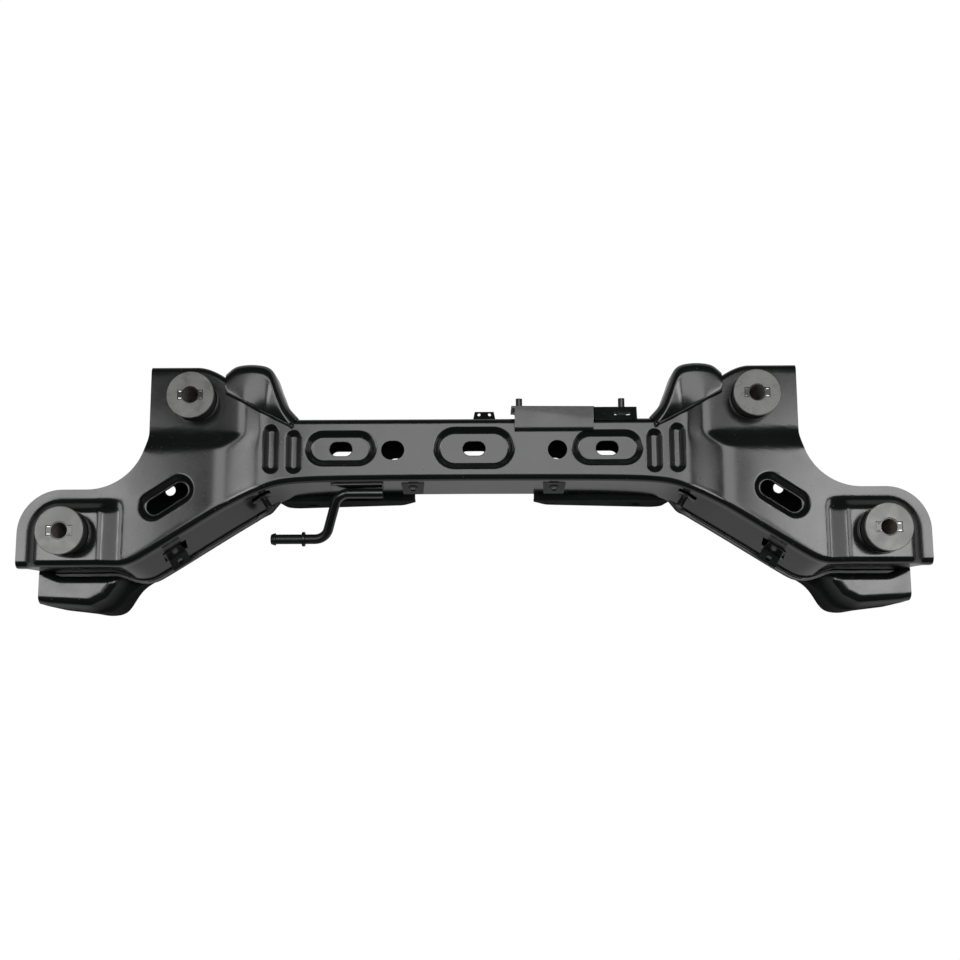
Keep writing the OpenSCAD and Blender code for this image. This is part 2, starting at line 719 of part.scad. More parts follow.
// Small clip on the rear wall, near the middle
clip_from_studs = 36.5;
clip_x = stud_bracket_x - clip_from_studs;
clip_width = 27;
clip_plate = 2;
clip_height = 18;
clip_reach = 10;
clip_z = beam_top - 12;
clip_hole_d = 4;

module rear_clip() {
    wall = beam_rear + lean_at(rear_lean, beam_top - bend_radius, clip_z - clip_height) + weld_gap;
    color(dark_paint) difference() {
        union() {
            translate([clip_x - clip_width / 2, wall, clip_z - clip_height])
                cube([clip_width, clip_plate, clip_height]);
            translate([clip_x - clip_width / 2, wall, clip_z - clip_plate])
                cube([clip_width, clip_reach, clip_plate]);
        }
        for (side = [-1, 1])
            translate([clip_x + side * 7, wall + clip_reach - 4, clip_z - clip_plate - over])
                cylinder(h = clip_plate + 2 * over, d = clip_hole_d);
    }
}

// A place on the front wall: plan point at distance a from the middle and height z, off outside the sheet
function wall_in(a) = unit([front_y(a - 1) - front_y(a + 1), 2]);
function wall_spot(a, z, off) =
    let (crest = top_z(a, front_y(a)) - bend_radius, p = [a, front_y(a)])
    with_z(p - wall_in(a) * (lean_at(front_lean(a), crest, z) + off), z);

// Puts a child with its back on the front wall: its own +y points into the wall
module on_front_wall(side, a, z, off) {
    along = wall_spot(a + 2, z, off) - wall_spot(a - 2, z, off);
    crest = top_z(a, front_y(a)) - bend_radius;
    tilt = atan2(front_lean(a), crest - wall_foot);
    mirror([side < 0 ? 1 : 0, 0, 0]) translate(wall_spot(a, z, off)) rotate(atan2(along.y, along.x))
        rotate([-tilt, 0, 0]) children();
}

hanger_from_bend = 135;
clip_nut_from_hanger = 36.5;
clip_nut_left = arm_bend_in - hanger_from_bend - clip_nut_from_hanger;
clip_nut_right = 97;
clip_nut_size = [28, 3, 18];
clip_nut_z = lip_height + clip_nut_size.z / 2 + 1;
clip_nut_d = 13;
clip_nut_length = 8;
clip_nut_bore = 6.4;

module clip_nuts() {
    color(dark_paint) for (place = [[-1, clip_nut_left], [1, clip_nut_right]])
        on_front_wall(place[0], place[1], clip_nut_z, 2 * weld_gap) difference() {
            union() {
                translate([-clip_nut_size.x / 2, -clip_nut_size.y, -clip_nut_size.z / 2]) cube(clip_nut_size);
                translate([0, -clip_nut_size.y, 0]) rotate([90, 0, 0]) cylinder(h = clip_nut_length, d = clip_nut_d);
            }
            translate([0, over, 0]) rotate([90, 0, 0])
                cylinder(h = clip_nut_size.y + clip_nut_length + 2 * over, d = clip_nut_bore);
        }
}

// Hanger: a bent rod welded to a plate on the front wall, left of the middle
hanger_plate_in = arm_bend_in - hanger_from_bend;
hanger_plate_size = [63, 4, 22];
hanger_plate_z = lip_height + 0.5;
hanger_plate_a = hanger_plate_in + hanger_plate_size.x / 2;
hanger_rod_z = hanger_plate_z + 9;
hanger_rod_y = wall_spot(hanger_plate_a, hanger_rod_z, 3 * weld_gap + hanger_plate_size.y + rod_d / 2).y;
rod_bend = acos(0.28);
rod_bend_radius = 18;
rod_drop = 60;
rod_dip = 29;
rod_first = 41.5;
rod_last = 48;
rod_middle = (rod_drop - 2 * rod_bend_radius * (1 - cos(rod_bend))) / sin(rod_bend);
rod_second_bend = [
    rod_first + rod_bend_radius * sin(rod_bend) + rod_middle * cos(rod_bend),
    rod_drop - rod_bend_radius * (1 - cos(rod_bend))
];
rod_third = rod_second_bend.x + rod_bend_radius * sin(rod_bend);
rod_head_d = rod_d + 4;
rod_head_t = 6;
collar_d = rod_d + 6;
collar_t = 3.5;
collar_place = 12;

module hanger_plate() {
    color(dark_paint) on_front_wall(-1, hanger_plate_a, hanger_plate_z, 2 * weld_gap)
        translate([-hanger_plate_size.x / 2, -hanger_plate_size.y, 0]) cube(hanger_plate_size);
}

// The rod's own plane: x runs outward along the car's left, y forward and down
module in_rod_plane() {
    translate([-hanger_plate_in, hanger_rod_y, hanger_rod_z]) rotate([rod_dip, 0, 0]) rotate(180) children();
}

module rod_length(h) {
    rotate([0, 90, 0]) cylinder(h = h, d = rod_d);
}

module hanger_rod() {
    turned = rod_first + rod_bend_radius * sin(rod_bend);
    color(dark_paint) in_rod_plane() {
        rod_length(rod_first);
        translate([rod_first, rod_bend_radius, 0]) rotate(-90)
            rotate_extrude(angle = rod_bend) translate([rod_bend_radius, 0]) circle(d = rod_d);
        translate([turned, rod_bend_radius * (1 - cos(rod_bend)), 0]) rotate(rod_bend) rod_length(rod_middle);
        translate([rod_third, rod_drop - rod_bend_radius, 0]) rotate(90)
            rotate_extrude(angle = rod_bend) translate([rod_bend_radius, 0]) circle(d = rod_d);
        translate([rod_third, rod_drop, 0]) rod_length(rod_last);
        translate([rod_third + rod_last, rod_drop, 0]) rotate([0, 90, 0])
            cylinder(h = rod_head_t, d1 = rod_head_d, d2 = rod_head_d - 4);
    }
}

module hanger_collar() {
    color(dark_paint) in_rod_plane() translate([rod_third + collar_place, rod_drop, 0]) rotate([0, 90, 0])
        tube(collar_d, rod_d + 2 * seat, 0, collar_t);
}

// Short studs on the front walls where the arms begin
front_stud_a = arm_bend_in + 13;
front_stud_z = lip_height + 8;
front_stud_d = 8;
front_stud_length = 13;
front_stud_flange_d = 15;
front_stud_flange_t = 2;
// The wall is twisted there, so the flange stands off it a little more
front_stud_gap = 1;

module front_studs() {
    color(dark_paint) for (side = [-1, 1])
        on_front_wall(side, front_stud_a, front_stud_z, front_stud_gap) rotate([90, 0, 0]) {
            cylinder(h = front_stud_flange_t, d = front_stud_flange_d);
            cylinder(h = front_stud_flange_t + front_stud_length, d = front_stud_d);
        }
}

// Bent tabs for the wiring on the arms' front walls
wire_tab_a = arm_bend_in + 120;
wire_tab_z = lip_height + 6;
wire_tab_size = [24, 2, 22];
wire_tab_reach = 17;
wire_tab_hole_d = 7;

module wire_tab(side) {
    color(dark_paint) on_front_wall(side, wire_tab_a, wire_tab_z, 2 * weld_gap) difference() {
        union() {
            translate([-wire_tab_size.x / 2, -wire_tab_size.y, 0]) cube(wire_tab_size);
            translate([-wire_tab_size.x / 2, -wire_tab_reach, 0])
                cube([wire_tab_size.x, wire_tab_reach, wire_tab_size.y]);
        }
        translate([0, -wire_tab_reach + 7, -over]) cylinder(h = wire_tab_size.y + 2 * over, d = wire_tab_hole_d);
    }
}

upper_panel();
lower_panel();
gusset(-1);  // gusset_left
gusset(1);  // gusset_right
link_bracket(-1);  // link_bracket_left
link_bracket(1);  // link_bracket_right
beam_bracket(-1, false);  // beam_bracket_front_left
beam_bracket(1, false);  // beam_bracket_front_right
beam_bracket(-1, true);  // beam_bracket_rear_left
beam_bracket(1, true);  // beam_bracket_rear_right
bush_sleeve(-1, true);  // sleeve_front_left
bush_sleeve(1, true);  // sleeve_front_right
bush_sleeve(-1, false);  // sleeve_rear_left
bush_sleeve(1, false);  // sleeve_rear_right
bush_rubber(-1, true);  // rubber_front_left
bush_rubber(1, true);  // rubber_front_right
bush_rubber(-1, false);  // rubber_rear_left
bush_rubber(1, false);  // rubber_rear_right
bush_core(-1, true);  // core_front_left
bush_core(1, true);  // core_front_right
bush_core(-1, false);  // core_rear_left
bush_core(1, false);  // core_rear_right
bush_washer(-1, true);  // washer_front_left
bush_washer(1, true);  // washer_front_right
bush_washer(-1, false);  // washer_rear_left
bush_washer(1, false);  // washer_rear_right
bolt_retainer(-1, true);  // retainer_front_left
bolt_retainer(1, true);  // retainer_front_right
bolt_retainer(-1, false);  // retainer_rear_left
bolt_retainer(1, false);  // retainer_rear_right
link_nuts();
stud_bracket();
bracket_studs();
rear_clip();
clip_nuts();
hanger_plate();
hanger_rod();
hanger_collar();
front_studs();
wire_tab(-1);  // wire_tab_left
wire_tab(1);  // wire_tab_right
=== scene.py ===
"""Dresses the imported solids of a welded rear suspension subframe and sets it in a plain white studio."""
import logging
import math
from dataclasses import dataclass
from enum import Enum, IntEnum
from typing import Callable, Optional, Sequence

import bpy
import numpy as np
from bpy.types import Material, Node, NodeSocket, NodeTree, Object
from mathutils import Matrix, Vector


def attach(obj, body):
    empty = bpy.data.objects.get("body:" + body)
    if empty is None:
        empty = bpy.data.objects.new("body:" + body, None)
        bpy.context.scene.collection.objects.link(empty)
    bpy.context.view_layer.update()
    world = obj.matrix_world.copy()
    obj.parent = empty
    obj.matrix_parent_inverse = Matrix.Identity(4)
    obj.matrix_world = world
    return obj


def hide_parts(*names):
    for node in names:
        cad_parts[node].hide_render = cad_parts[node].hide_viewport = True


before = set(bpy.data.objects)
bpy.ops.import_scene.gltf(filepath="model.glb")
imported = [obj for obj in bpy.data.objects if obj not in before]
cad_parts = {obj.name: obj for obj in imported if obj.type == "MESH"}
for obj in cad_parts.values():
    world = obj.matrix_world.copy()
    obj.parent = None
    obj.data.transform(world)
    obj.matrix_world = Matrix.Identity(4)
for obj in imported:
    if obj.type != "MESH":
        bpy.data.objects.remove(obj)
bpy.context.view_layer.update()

MM = 0.001
PRINCIPLED = "ShaderNodeBsdfPrincipled"
WELD_RIPPLE = 2.6
SHARP_DEGREES = 40
FULL_TURN = 6.283
LOG = logging.getLogger("subframe")
Array = np.ndarray
Point = tuple[float, float, float]
Span = tuple[float, float]
Line = tuple[Span, ...]


class Side(Enum):
    """The two sides of the car, as the sign of X."""

    LEFT = -1
    RIGHT = 1

    @property
    def word(self) -> str:
        """The side as the names of the nodes say it."""
        return self.name.lower()

class Slot(Enum):
    """The record's material slots."""

    PANEL = "panel_paint"
    BRACKET = "bracket_paint"
    WASHER = "washer_paint"
    STEEL = "bush_steel"
    SPRING = "spring_steel"
    RUBBER = "bush_rubber"


class Cut(Enum):
    """How a run of weld is drawn: plainly laid, or rippled by the torch."""

    SMOOTH = 0.0
    RIPPLED = 0.17


# Colours and nodes


def linear(code: str) -> tuple[float, float, float, float]:
    """Turns an sRGB hex colour into linear light, with an alpha of 1."""
    parts = [int(code[i:i + 2], 16) / 255 for i in (1, 3, 5)]
    light = [p / 12.92 if p <= 0.04045 else ((p + 0.055) / 1.055) ** 2.4 for p in parts]
    return light[0], light[1], light[2], 1.0


def add_node(tree: NodeTree, kind: str, inputs: Optional[dict] = None, **settings: object) -> Node:
    """Adds one node with its settings, and with values or links by input name or number."""
    node = tree.nodes.new(kind)
    for name, value in settings.items():
        setattr(node, name, value)
    for name, value in (inputs or {}).items():
        if isinstance(value, NodeSocket):
            tree.links.new(value, node.inputs[name])
        else:
            node.inputs[name].default_value = value
    return node


def combine(tree: NodeTree, operation: str, first: object, second: object, clamp: bool = False) -> NodeSocket:
    """Combines two values by simple arithmetic."""
    inputs = {0: first, 1: second}
    return add_node(tree, "ShaderNodeMath", inputs, operation=operation, use_clamp=clamp).outputs[0]


class Coat:
    """A material with an empty tree, and the nodes that the finishes share."""

    def __init__(self, name: str) -> None:
        self.material = bpy.data.materials.new(name)
        self.material.use_nodes = True
        self.tree = self.material.node_tree
        self.tree.nodes.clear()
        self.place = add_node(self.tree, "ShaderNodeTexCoord").outputs["Object"]

    def noise(self, size_mm: float, detail: float, roughness: float,
              place: Optional[NodeSocket] = None) -> NodeSocket:
        """Gives a noise with spots of about a size."""
        return add_node(self.tree, "ShaderNodeTexNoise", {
            "Vector": self.place if place is None else place, "Scale": 1 / (size_mm * MM),
            "Detail": detail, "Roughness": roughness}).outputs["Fac"]

    def remap(self, value: NodeSocket, start: Span, end: Span) -> NodeSocket:
        """Maps one range of values evenly onto another."""
        return add_node(self.tree, "ShaderNodeMapRange", {
            "Value": value, "From Min": start[0], "From Max": start[1],
            "To Min": end[0], "To Max": end[1]}).outputs[0]

    def blend(self, share: NodeSocket, first: object, second: object) -> NodeSocket:
        """Mixes two colours."""
        inputs = {0: share, 6: first, 7: second}
        return add_node(self.tree, "ShaderNodeMix", inputs, data_type="RGBA").outputs[2]

    def bump(self, height: NodeSocket, strength: float, rise_mm: float) -> NodeSocket:
        """Gives the normal of a surface with a fine relief."""
        return add_node(self.tree, "ShaderNodeBump", {
            "Height": height, "Strength": strength, "Distance": rise_mm * MM}).outputs[0]

    def finish(self, kind: str, inputs: dict) -> Material:
        """Adds the last shader and links it to the output."""
        shader = add_node(self.tree, kind, inputs)
        add_node(self.tree, "ShaderNodeOutputMaterial", {"Surface": shader.outputs[0]})
        return self.material


@dataclass(frozen=True)
class DipCoat:
    """Black dip coat on pressed steel: satin gloss, faint orange peel, dust and dull rubbed patches."""

    name: str
    colour: str
    pale: str
    roughness: tuple[float, float]
    peel_mm: float = 2.6
    patch_mm: float = 55.0
    speck_mm: float = 2.2
    speck_level: float = 0.735
    scratch_mm: float = 9.0
    painted_shade_mm: Span = (-2.0, -1.0)
    gloss: Span = (0.03, 0.5)
    dust: str = "#77777a"

    def build(self) -> Material:
        """Builds the coat with painted shade under the first height, where its gloss is turned down and it
        grows rougher, and glossy over the second.
        """
        coat = Coat(self.name)
        axes = add_node(coat.tree, "ShaderNodeSeparateXYZ", {"Vector": coat.place})
        # Painted shade: towards the bottom the gloss fades out and the roughness rises, standing in for the
        # shadow under the frame.
        gloss = coat.remap(axes.outputs["Z"], (self.painted_shade_mm[0] * MM, self.painted_shade_mm[1] * MM), self.gloss)
        matt = coat.remap(gloss, self.gloss, (0.5, 0.0))
        patch = coat.noise(self.patch_mm, 5.0, 0.6)
        rough = coat.remap(patch, (0.3, 0.7), self.roughness)
        tone = coat.blend(patch, linear(self.colour), linear(self.pale))
        speck = coat.noise(self.speck_mm, 2.0, 0.5)
        dust = coat.remap(speck, (self.speck_level, self.speck_level + 0.03), (0.0, 0.55))
        slant = add_node(coat.tree, "ShaderNodeMapping", {
            "Vector": coat.place, "Rotation": (0.0, 0.0, 0.6), "Scale": (1.0, 9.0, 1.0)})
        scratch = coat.noise(self.scratch_mm * 4, 6.0, 0.72, slant.outputs[0])
        rubbed = coat.remap(scratch, (0.69, 0.76), (0.0, 0.35))
        marks = combine(coat.tree, "MAXIMUM", dust, rubbed)
        worn = combine(coat.tree, "ADD", rough, matt)
        peel = coat.noise(self.peel_mm, 2.0, 0.45)
        return coat.finish(PRINCIPLED, {
            "Base Color": coat.blend(marks, tone, linear(self.dust)),
            "Roughness": combine(coat.tree, "ADD", worn, marks, clamp=True),
            "Normal": coat.bump(peel, 0.05, 0.35), "IOR": 1.52, "Specular IOR Level": gloss})


@dataclass(frozen=True)
class TurnedSteel:
    """Machined mild steel: grey metal with fine turning lines round the bush axis and a thin oil film."""

    name: str
    colour: str
    stain: str
    roughness: float
    metal: float = 1.0
    line_mm: float = 1.1
    blot_mm: float = 14.0

    def build(self) -> Material:
        """Builds the steel."""
        coat = Coat(self.name)
        lines = add_node(coat.tree, "ShaderNodeTexWave", {
            "Vector": coat.place, "Scale": 1 / (self.line_mm * MM) / FULL_TURN,
            "Distortion": 0.6, "Detail": 2.0},
            wave_type="BANDS", bands_direction="Z")
        blot = coat.noise(self.blot_mm, 4.0, 0.6)
        cover = coat.remap(blot, (0.45, 0.68), (0.0, 0.6))
        return coat.finish(PRINCIPLED, {
            "Base Color": coat.blend(cover, linear(self.colour), linear(self.stain)), "Metallic": self.metal,
            "Roughness": coat.remap(blot, (0.0, 1.0), (self.roughness - 0.08, self.roughness + 0.16)),
            "Normal": coat.bump(lines.outputs["Fac"], 0.12, 0.15)})


@dataclass(frozen=True)
class MouldedRubber:
    """Moulded natural rubber: dull black with a fine bloom and the mould's grain."""

    name: str
    colour: str
    bloom: str
    grain_mm: float = 1.6
    cloud_mm: float = 18.0

    def build(self) -> Material:
        """Builds the rubber."""
        coat = Coat(self.name)
        cloud = coat.noise(self.cloud_mm, 5.0, 0.62)
        grain = coat.noise(self.grain_mm, 3.0, 0.5)
        return coat.finish(PRINCIPLED, {
            "Base Color": coat.blend(cloud, linear(self.colour), linear(self.bloom)),
            "Roughness": coat.remap(cloud, (0.0, 1.0), (0.58, 0.86)),
            "Normal": coat.bump(grain, 0.25, 0.2), "IOR": 1.52})


Finishes = dict[Slot, Material]


def make_finishes() -> Finishes:
    """Builds one material for each slot."""
    finishes = {
        Slot.PANEL: DipCoat("dip_coat_panel", "#121313", "#1a1b1b", (0.14, 0.21)),
        # The bracket coat carries painted shade: its gloss fades out between 84 and 66 mm.
        Slot.BRACKET: DipCoat("dip_coat_bracket", "#101111", "#191a1a", (0.14, 0.26), patch_mm=30.0,
                              painted_shade_mm=(66.0, 84.0)),
        Slot.WASHER: DipCoat("phosphate_washer", "#3e3e3c", "#7d7d7a", (0.22, 0.42), peel_mm=1.4,
                             patch_mm=16.0, scratch_mm=3.0),
        Slot.STEEL: TurnedSteel("oiled_turned_steel", "#8a837b", "#5a5048", 0.5, 0.35),
        Slot.SPRING: TurnedSteel("bright_spring_steel", "#cfcdc6", "#9b978f", 0.26),
        Slot.RUBBER: MouldedRubber("moulded_rubber", "#121212", "#1d1d1c"),
    }
    return {slot: finish.build() for slot, finish in finishes.items()}


# Work on meshes


def deselect() -> None:
    """Leaves edit mode and deselects everything."""
    if bpy.context.object and bpy.context.object.mode != "OBJECT":
        bpy.ops.object.mode_set(mode="OBJECT")
    bpy.ops.object.select_all(action="DESELECT")


def activate(obj: Object) -> None:
    """Makes one object the only selected one and the active one."""
    deselect()
    obj.select_set(True)
    bpy.context.view_layer.objects.active = obj


def apply_modifiers(obj: Object) -> None:
    """Applies all of an object's modifiers in order."""
    activate(obj)
    for modifier in list(obj.modifiers):
        bpy.ops.object.modifier_apply(modifier=modifier.name)


def points_of(obj: Object) -> Array:
    """Reads an object's points in millimetres."""
    flat = np.empty(len(obj.data.vertices) * 3)
    obj.data.vertices.foreach_get("co", flat)
    return flat.reshape(-1, 3) / MM


def set_points(obj: Object, points: Array) -> None:
    """Writes an object's points from millimetres."""
    obj.data.vertices.foreach_set("co", (points * MM).ravel())
    obj.data.update()


def edit_all(obj: Object) -> None:
    """Enters edit mode on one object with all of it selected."""
    activate(obj)
    bpy.ops.object.mode_set(mode="EDIT")
    bpy.ops.mesh.select_all(action="SELECT")


def leave_edit() -> None:
    """Goes back to object mode."""
    bpy.ops.object.mode_set(mode="OBJECT")


def face_out(obj: Object) -> None:
    """Merges doubles and turns the faces of a closed shape outwards."""
    edit_all(obj)
    bpy.ops.mesh.remove_doubles(threshold=0.00002)
    bpy.ops.mesh.normals_make_consistent(inside=False)
    leave_edit()


def smooth_by_angle(obj: Object, degrees: float) -> None:
    """Shades an object smooth except at edges sharper than an angle."""
    activate(obj)
    bpy.ops.object.shade_smooth_by_angle(angle=math.radians(degrees))


def joined(pieces: Sequence[Object]) -> Object:
    """Joins objects into the first of them."""
    activate(pieces[0])
    for piece in pieces:
        piece.select_set(True)
    bpy.ops.object.join()
    return pieces[0]


def keep(obj: Object, name: str, slot: Slot, finishes: Finishes, nodes: Sequence[str] = ()) -> None:
    """Names a finished piece, gives it its finish and ties it to the frame, in place of some solids."""
    obj.name = name
    obj.data.name = name
    obj.data.materials.clear()
    obj.data.materials.append(finishes[slot])
    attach(obj, "root")
    if nodes:
        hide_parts(*nodes)
    LOG.info("%s: %d faces", name, len(obj.data.polygons))


def shaped_grid(points: Array) -> Object:
    """Adds a sheet with no thickness through rows by columns of points, in millimetres."""
    rows, columns, _ = points.shape
    deselect()
    bpy.ops.mesh.primitive_grid_add(x_subdivisions=columns - 1, y_subdivisions=rows - 1, size=1)
    sheet = bpy.context.object
    set_points(sheet, points.reshape(-1, 3))
    return sheet


def add_block(size: Point) -> tuple[Object, Array]:
    """Adds a block, and gives its corners about its middle in millimetres."""
    deselect()
    bpy.ops.mesh.primitive_cube_add(size=1)
    block = bpy.context.object
    return block, points_of(block) * MM * np.array(size)


def mirrored(points: Array, side: Side) -> Array:
    """Gives points of the right side, or their mirror image on the left."""
    return points * np.array([side.value, 1, 1])


def turn_up(obj: Object, upward: bool) -> None:
    """Turns an open sheet's faces so that its outer side looks up on the whole, or down."""
    normals = np.empty(len(obj.data.polygons) * 3)
    obj.data.polygons.foreach_get("normal", normals)
    areas = np.empty(len(obj.data.polygons))
    obj.data.polygons.foreach_get("area", areas)
    looks_up = float((normals.reshape(-1, 3)[:, 2] * areas).sum()) > 0
    if looks_up != upward:
        edit_all(obj)
        bpy.ops.mesh.flip_normals()
        leave_edit()


def thicken(obj: Object, thickness_mm: float) -> None:
    """Gives a sheet its thickness on the inner side."""
    solid = obj.modifiers.new("thickness", "SOLIDIFY")
    solid.thickness = thickness_mm * MM
    solid.offset = -1
    solid.use_even_offset = False
    apply_modifiers(obj)


def cut_away(obj: Object, cutters: Sequence[Object]) -> None:
    """Cuts shapes out of a closed piece and removes the cutters."""
    tool = joined(list(cutters))
    cut = obj.modifiers.new("cut", "BOOLEAN")
    cut.operation = "DIFFERENCE"
    cut.solver = "MANIFOLD"
    cut.object = tool
    apply_modifiers(obj)
    bpy.data.objects.remove(tool)


def round_edges(obj: Object, edge_mm: float, degrees: float) -> None:
    """Rounds the edges that are sharper than an angle."""
    bevel = obj.modifiers.new("edges", "BEVEL")
    bevel.width = edge_mm * MM
    bevel.segments = 2
    bevel.limit_method = "ANGLE"
    bevel.angle_limit = math.radians(degrees)
    apply_modifiers(obj)


@dataclass(frozen=True)
class Stadium:
    """An outline with round ends, seen from above; its turn is in radians."""

    x: float
    y: float
    length: float
    width: float
    turn: float = 0.0

    @property
    def reach(self) -> float:
        """Distance from the middle to the centre of each round end."""
        return (self.length - self.width) / 2

    def placed(self, u: Array, v: Array, z: Array) -> Array:
        """Turns and moves points from the outline's own axes to the car's."""
        x = u * math.cos(self.turn) - v * math.sin(self.turn) + self.x
        y = u * math.sin(self.turn) + v * math.cos(self.turn) + self.y
        return np.column_stack([x, y, z])

    def inside(self, x: Array, y: Array) -> Array:
        """Distance inside the outline, negative outside."""
        dx = x - self.x
        dy = y - self.y
        u = dx * math.cos(self.turn) + dy * math.sin(self.turn)
        v = -dx * math.sin(self.turn) + dy * math.cos(self.turn)
        return self.width / 2 - np.hypot(np.maximum(np.abs(u) - self.reach, 0), v)

    def bar(self, low: float, high: float) -> Object:
        """Adds an upright bar between two heights, to cut with."""
        deselect()
        bpy.ops.mesh.primitive_cylinder_add(vertices=72, radius=self.width / 2 * MM, depth=(high - low) * MM)
        bar = bpy.context.object
        u, v, z = points_of(bar).T
        set_points(bar, self.placed(u + np.sign(u.round(4)) * self.reach, v, z + (low + high) / 2))
        return bar

    def path(self, z: float, steps: int = 26) -> Array:
        """Gives the outline's points at a height, not closed, with some steps in each round end."""
        angles = np.linspace(-math.pi / 2, math.pi / 2, steps)
        right = np.stack([self.reach + self.width / 2 * np.cos(angles), self.width / 2 * np.sin(angles)], 1)
        outline = np.concatenate([right, -right])
        return self.placed(outline[:, 0], outline[:, 1], np.full(len(outline), z))


def distances(path: Array) -> Array:
    """Gives how far along a path each of its points lies."""
    gaps = np.linalg.norm(np.diff(path, axis=0), axis=1)
    return np.concatenate([[0], np.cumsum(gaps)])


def resampled(path: Array, step: float) -> Array:
    """Spaces a path's points evenly, about a step apart."""
    along = distances(path)
    count = max(int(along[-1] / step) + 1, 3)
    places = np.linspace(0, along[-1], count)
    return np.column_stack([np.interp(places, along, path[:, k]) for k in range(3)])


def swept(path: Array, radius: float, closed: bool = False, cut: Cut = Cut.SMOOTH, seed: int = 1) -> Object:
    """Sweeps a round section along a path.

    Args:
        path: points by three, in millimetres.
        radius: the section's radius.
        closed: whether the path runs back to its start.
        cut: plain, or rippled as a weld is.
        seed: start of the random unevenness of a weld.

    Returns:
        The swept mesh.
    """
    deselect()
    bpy.ops.curve.primitive_nurbs_path_add()
    obj = bpy.context.object
    curve = obj.data
    curve.splines.clear()
    spline = curve.splines.new("POLY")
    spline.points.add(len(path) - 1)
    uneven = np.random.default_rng(seed)
    along = distances(path)
    drift = np.interp(along, np.linspace(0, along[-1], 12), uneven.uniform(0.86, 1.14, 12))
    for k, point in enumerate(path):
        spline.points[k].co = (*(point * MM), 1)
        if cut is Cut.RIPPLED:
            ripple = 1 + cut.value * math.sin(FULL_TURN * along[k] / WELD_RIPPLE)
            spline.points[k].radius = drift[k] * ripple
    if cut is Cut.RIPPLED and not closed:
        spline.points[0].radius = 0.45
        spline.points[-1].radius = 0.45
    spline.use_cyclic_u = closed
    curve.dimensions = "3D"
    curve.bevel_depth = radius * MM
    curve.bevel_resolution = 2
    curve.use_fill_caps = not closed
    bpy.ops.object.convert(target="MESH")
    piece = bpy.context.object
    face_out(piece)
    smooth_by_angle(piece, 60)
    return piece


def turned_piece(profile: Sequence[Span], x: float, y: float, steps: int = 96) -> Object:
    """Turns a closed profile of radii and heights about an upright axis."""
    angles = np.linspace(0, 2 * math.pi, steps + 1)
    ring = np.array(list(profile) + [profile[0]])
    points = np.empty((steps + 1, len(ring), 3))
    points[:, :, 0] = x + np.cos(angles)[:, None] * ring[None, :, 0]
    points[:, :, 1] = y + np.sin(angles)[:, None] * ring[None, :, 0]
    points[:, :, 2] = ring[None, :, 1]
    piece = shaped_grid(points)
    face_out(piece)
    smooth_by_angle(piece, SHARP_DEGREES)
    return piece


def rounded_copy(node: str, edge_mm: float, form: Optional[Callable[[Object], None]] = None) -> Object:
    """Copies a solid and rounds its sharp edges.

    Args:
        node: the solid's name.
        edge_mm: radius at the edges.
        form: a change to the copy's shape before it is rounded, if any.

    Returns:
        The rounded copy, which still has to be kept.
    """
    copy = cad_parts[node].copy()
    copy.data = copy.data.copy()
    for key in list(copy.keys()):
        del copy[key]
    bpy.context.scene.collection.objects.link(copy)
    copy.parent = None
    edit_all(copy)
    bpy.ops.mesh.remove_doubles(threshold=0.01 * MM)
    bpy.ops.mesh.dissolve_limited(angle_limit=math.radians(1.0))
    leave_edit()
    if form:
        form(copy)
    round_edges(copy, edge_mm, 35)
    smooth_by_angle(copy, 38)
    even = copy.modifiers.new("even_faces", "WEIGHTED_NORMAL")
    even.keep_sharp = True
    even.weight = 100
    apply_modifiers(copy)
    return copy


# The pressed box


def smooth_step(t: Array) -> Array:
    """Eases from 0 to 1."""
    c = np.clip(t, 0.0, 1.0)
    return c * c * (3 - 2 * c)


def soft_ramp(t: Array, width: float) -> Array:
    """Gives a ramp from 0 with a rounded start."""
    return (t + np.sqrt(t * t + width * width)) / 2


def even_ramp(t: Array, corner: float = 0.1) -> Array:
    """Rises evenly from 0 to 1 with slightly rounded corners."""
    return soft_ramp(t, corner) - soft_ramp(t - 1, corner)


def share_of(a: Array, span: Span) -> Array:
    """Gives how much of a span has been passed."""
    return (a - span[0]) / (span[1] - span[0])


def eased(a: Array, span: Span) -> Array:
    """Eases from 0 to 1 over a span."""
    return smooth_step(share_of(a, span))


def unit_rows(v: Array) -> Array:
    """Scales each row to length 1."""
    return v / np.linalg.norm(v, axis=-1, keepdims=True)


def at_height(plan: Array, height: Array | float) -> Array:
    """Gives points from their places seen from above and their heights."""
    return np.column_stack([plan, np.broadcast_to(height, len(plan))])


@dataclass(frozen=True)
class Hollow:
    """One hollow that is pressed into the top face."""

    outline: Stadium
    depth: float
    slope: float

    def drop(self, x: Array, y: Array) -> Array:
        """How far the face is pressed down."""
        return self.depth * smooth_step((self.outline.inside(x, y) + 1.0) / (self.slope + 1.0))


class Rim(IntEnum):
    """Station numbers on the rim of half a panel, where each of its runs starts."""

    SIDE = 0
    TIP_ROUND = 3
    NOTCH = 8
    NOTCH_ROUND = 10
    NECK = 16
    PLATEAU = 20
    CURVE = 23
    BEAM = 34
    MIDDLE = 39


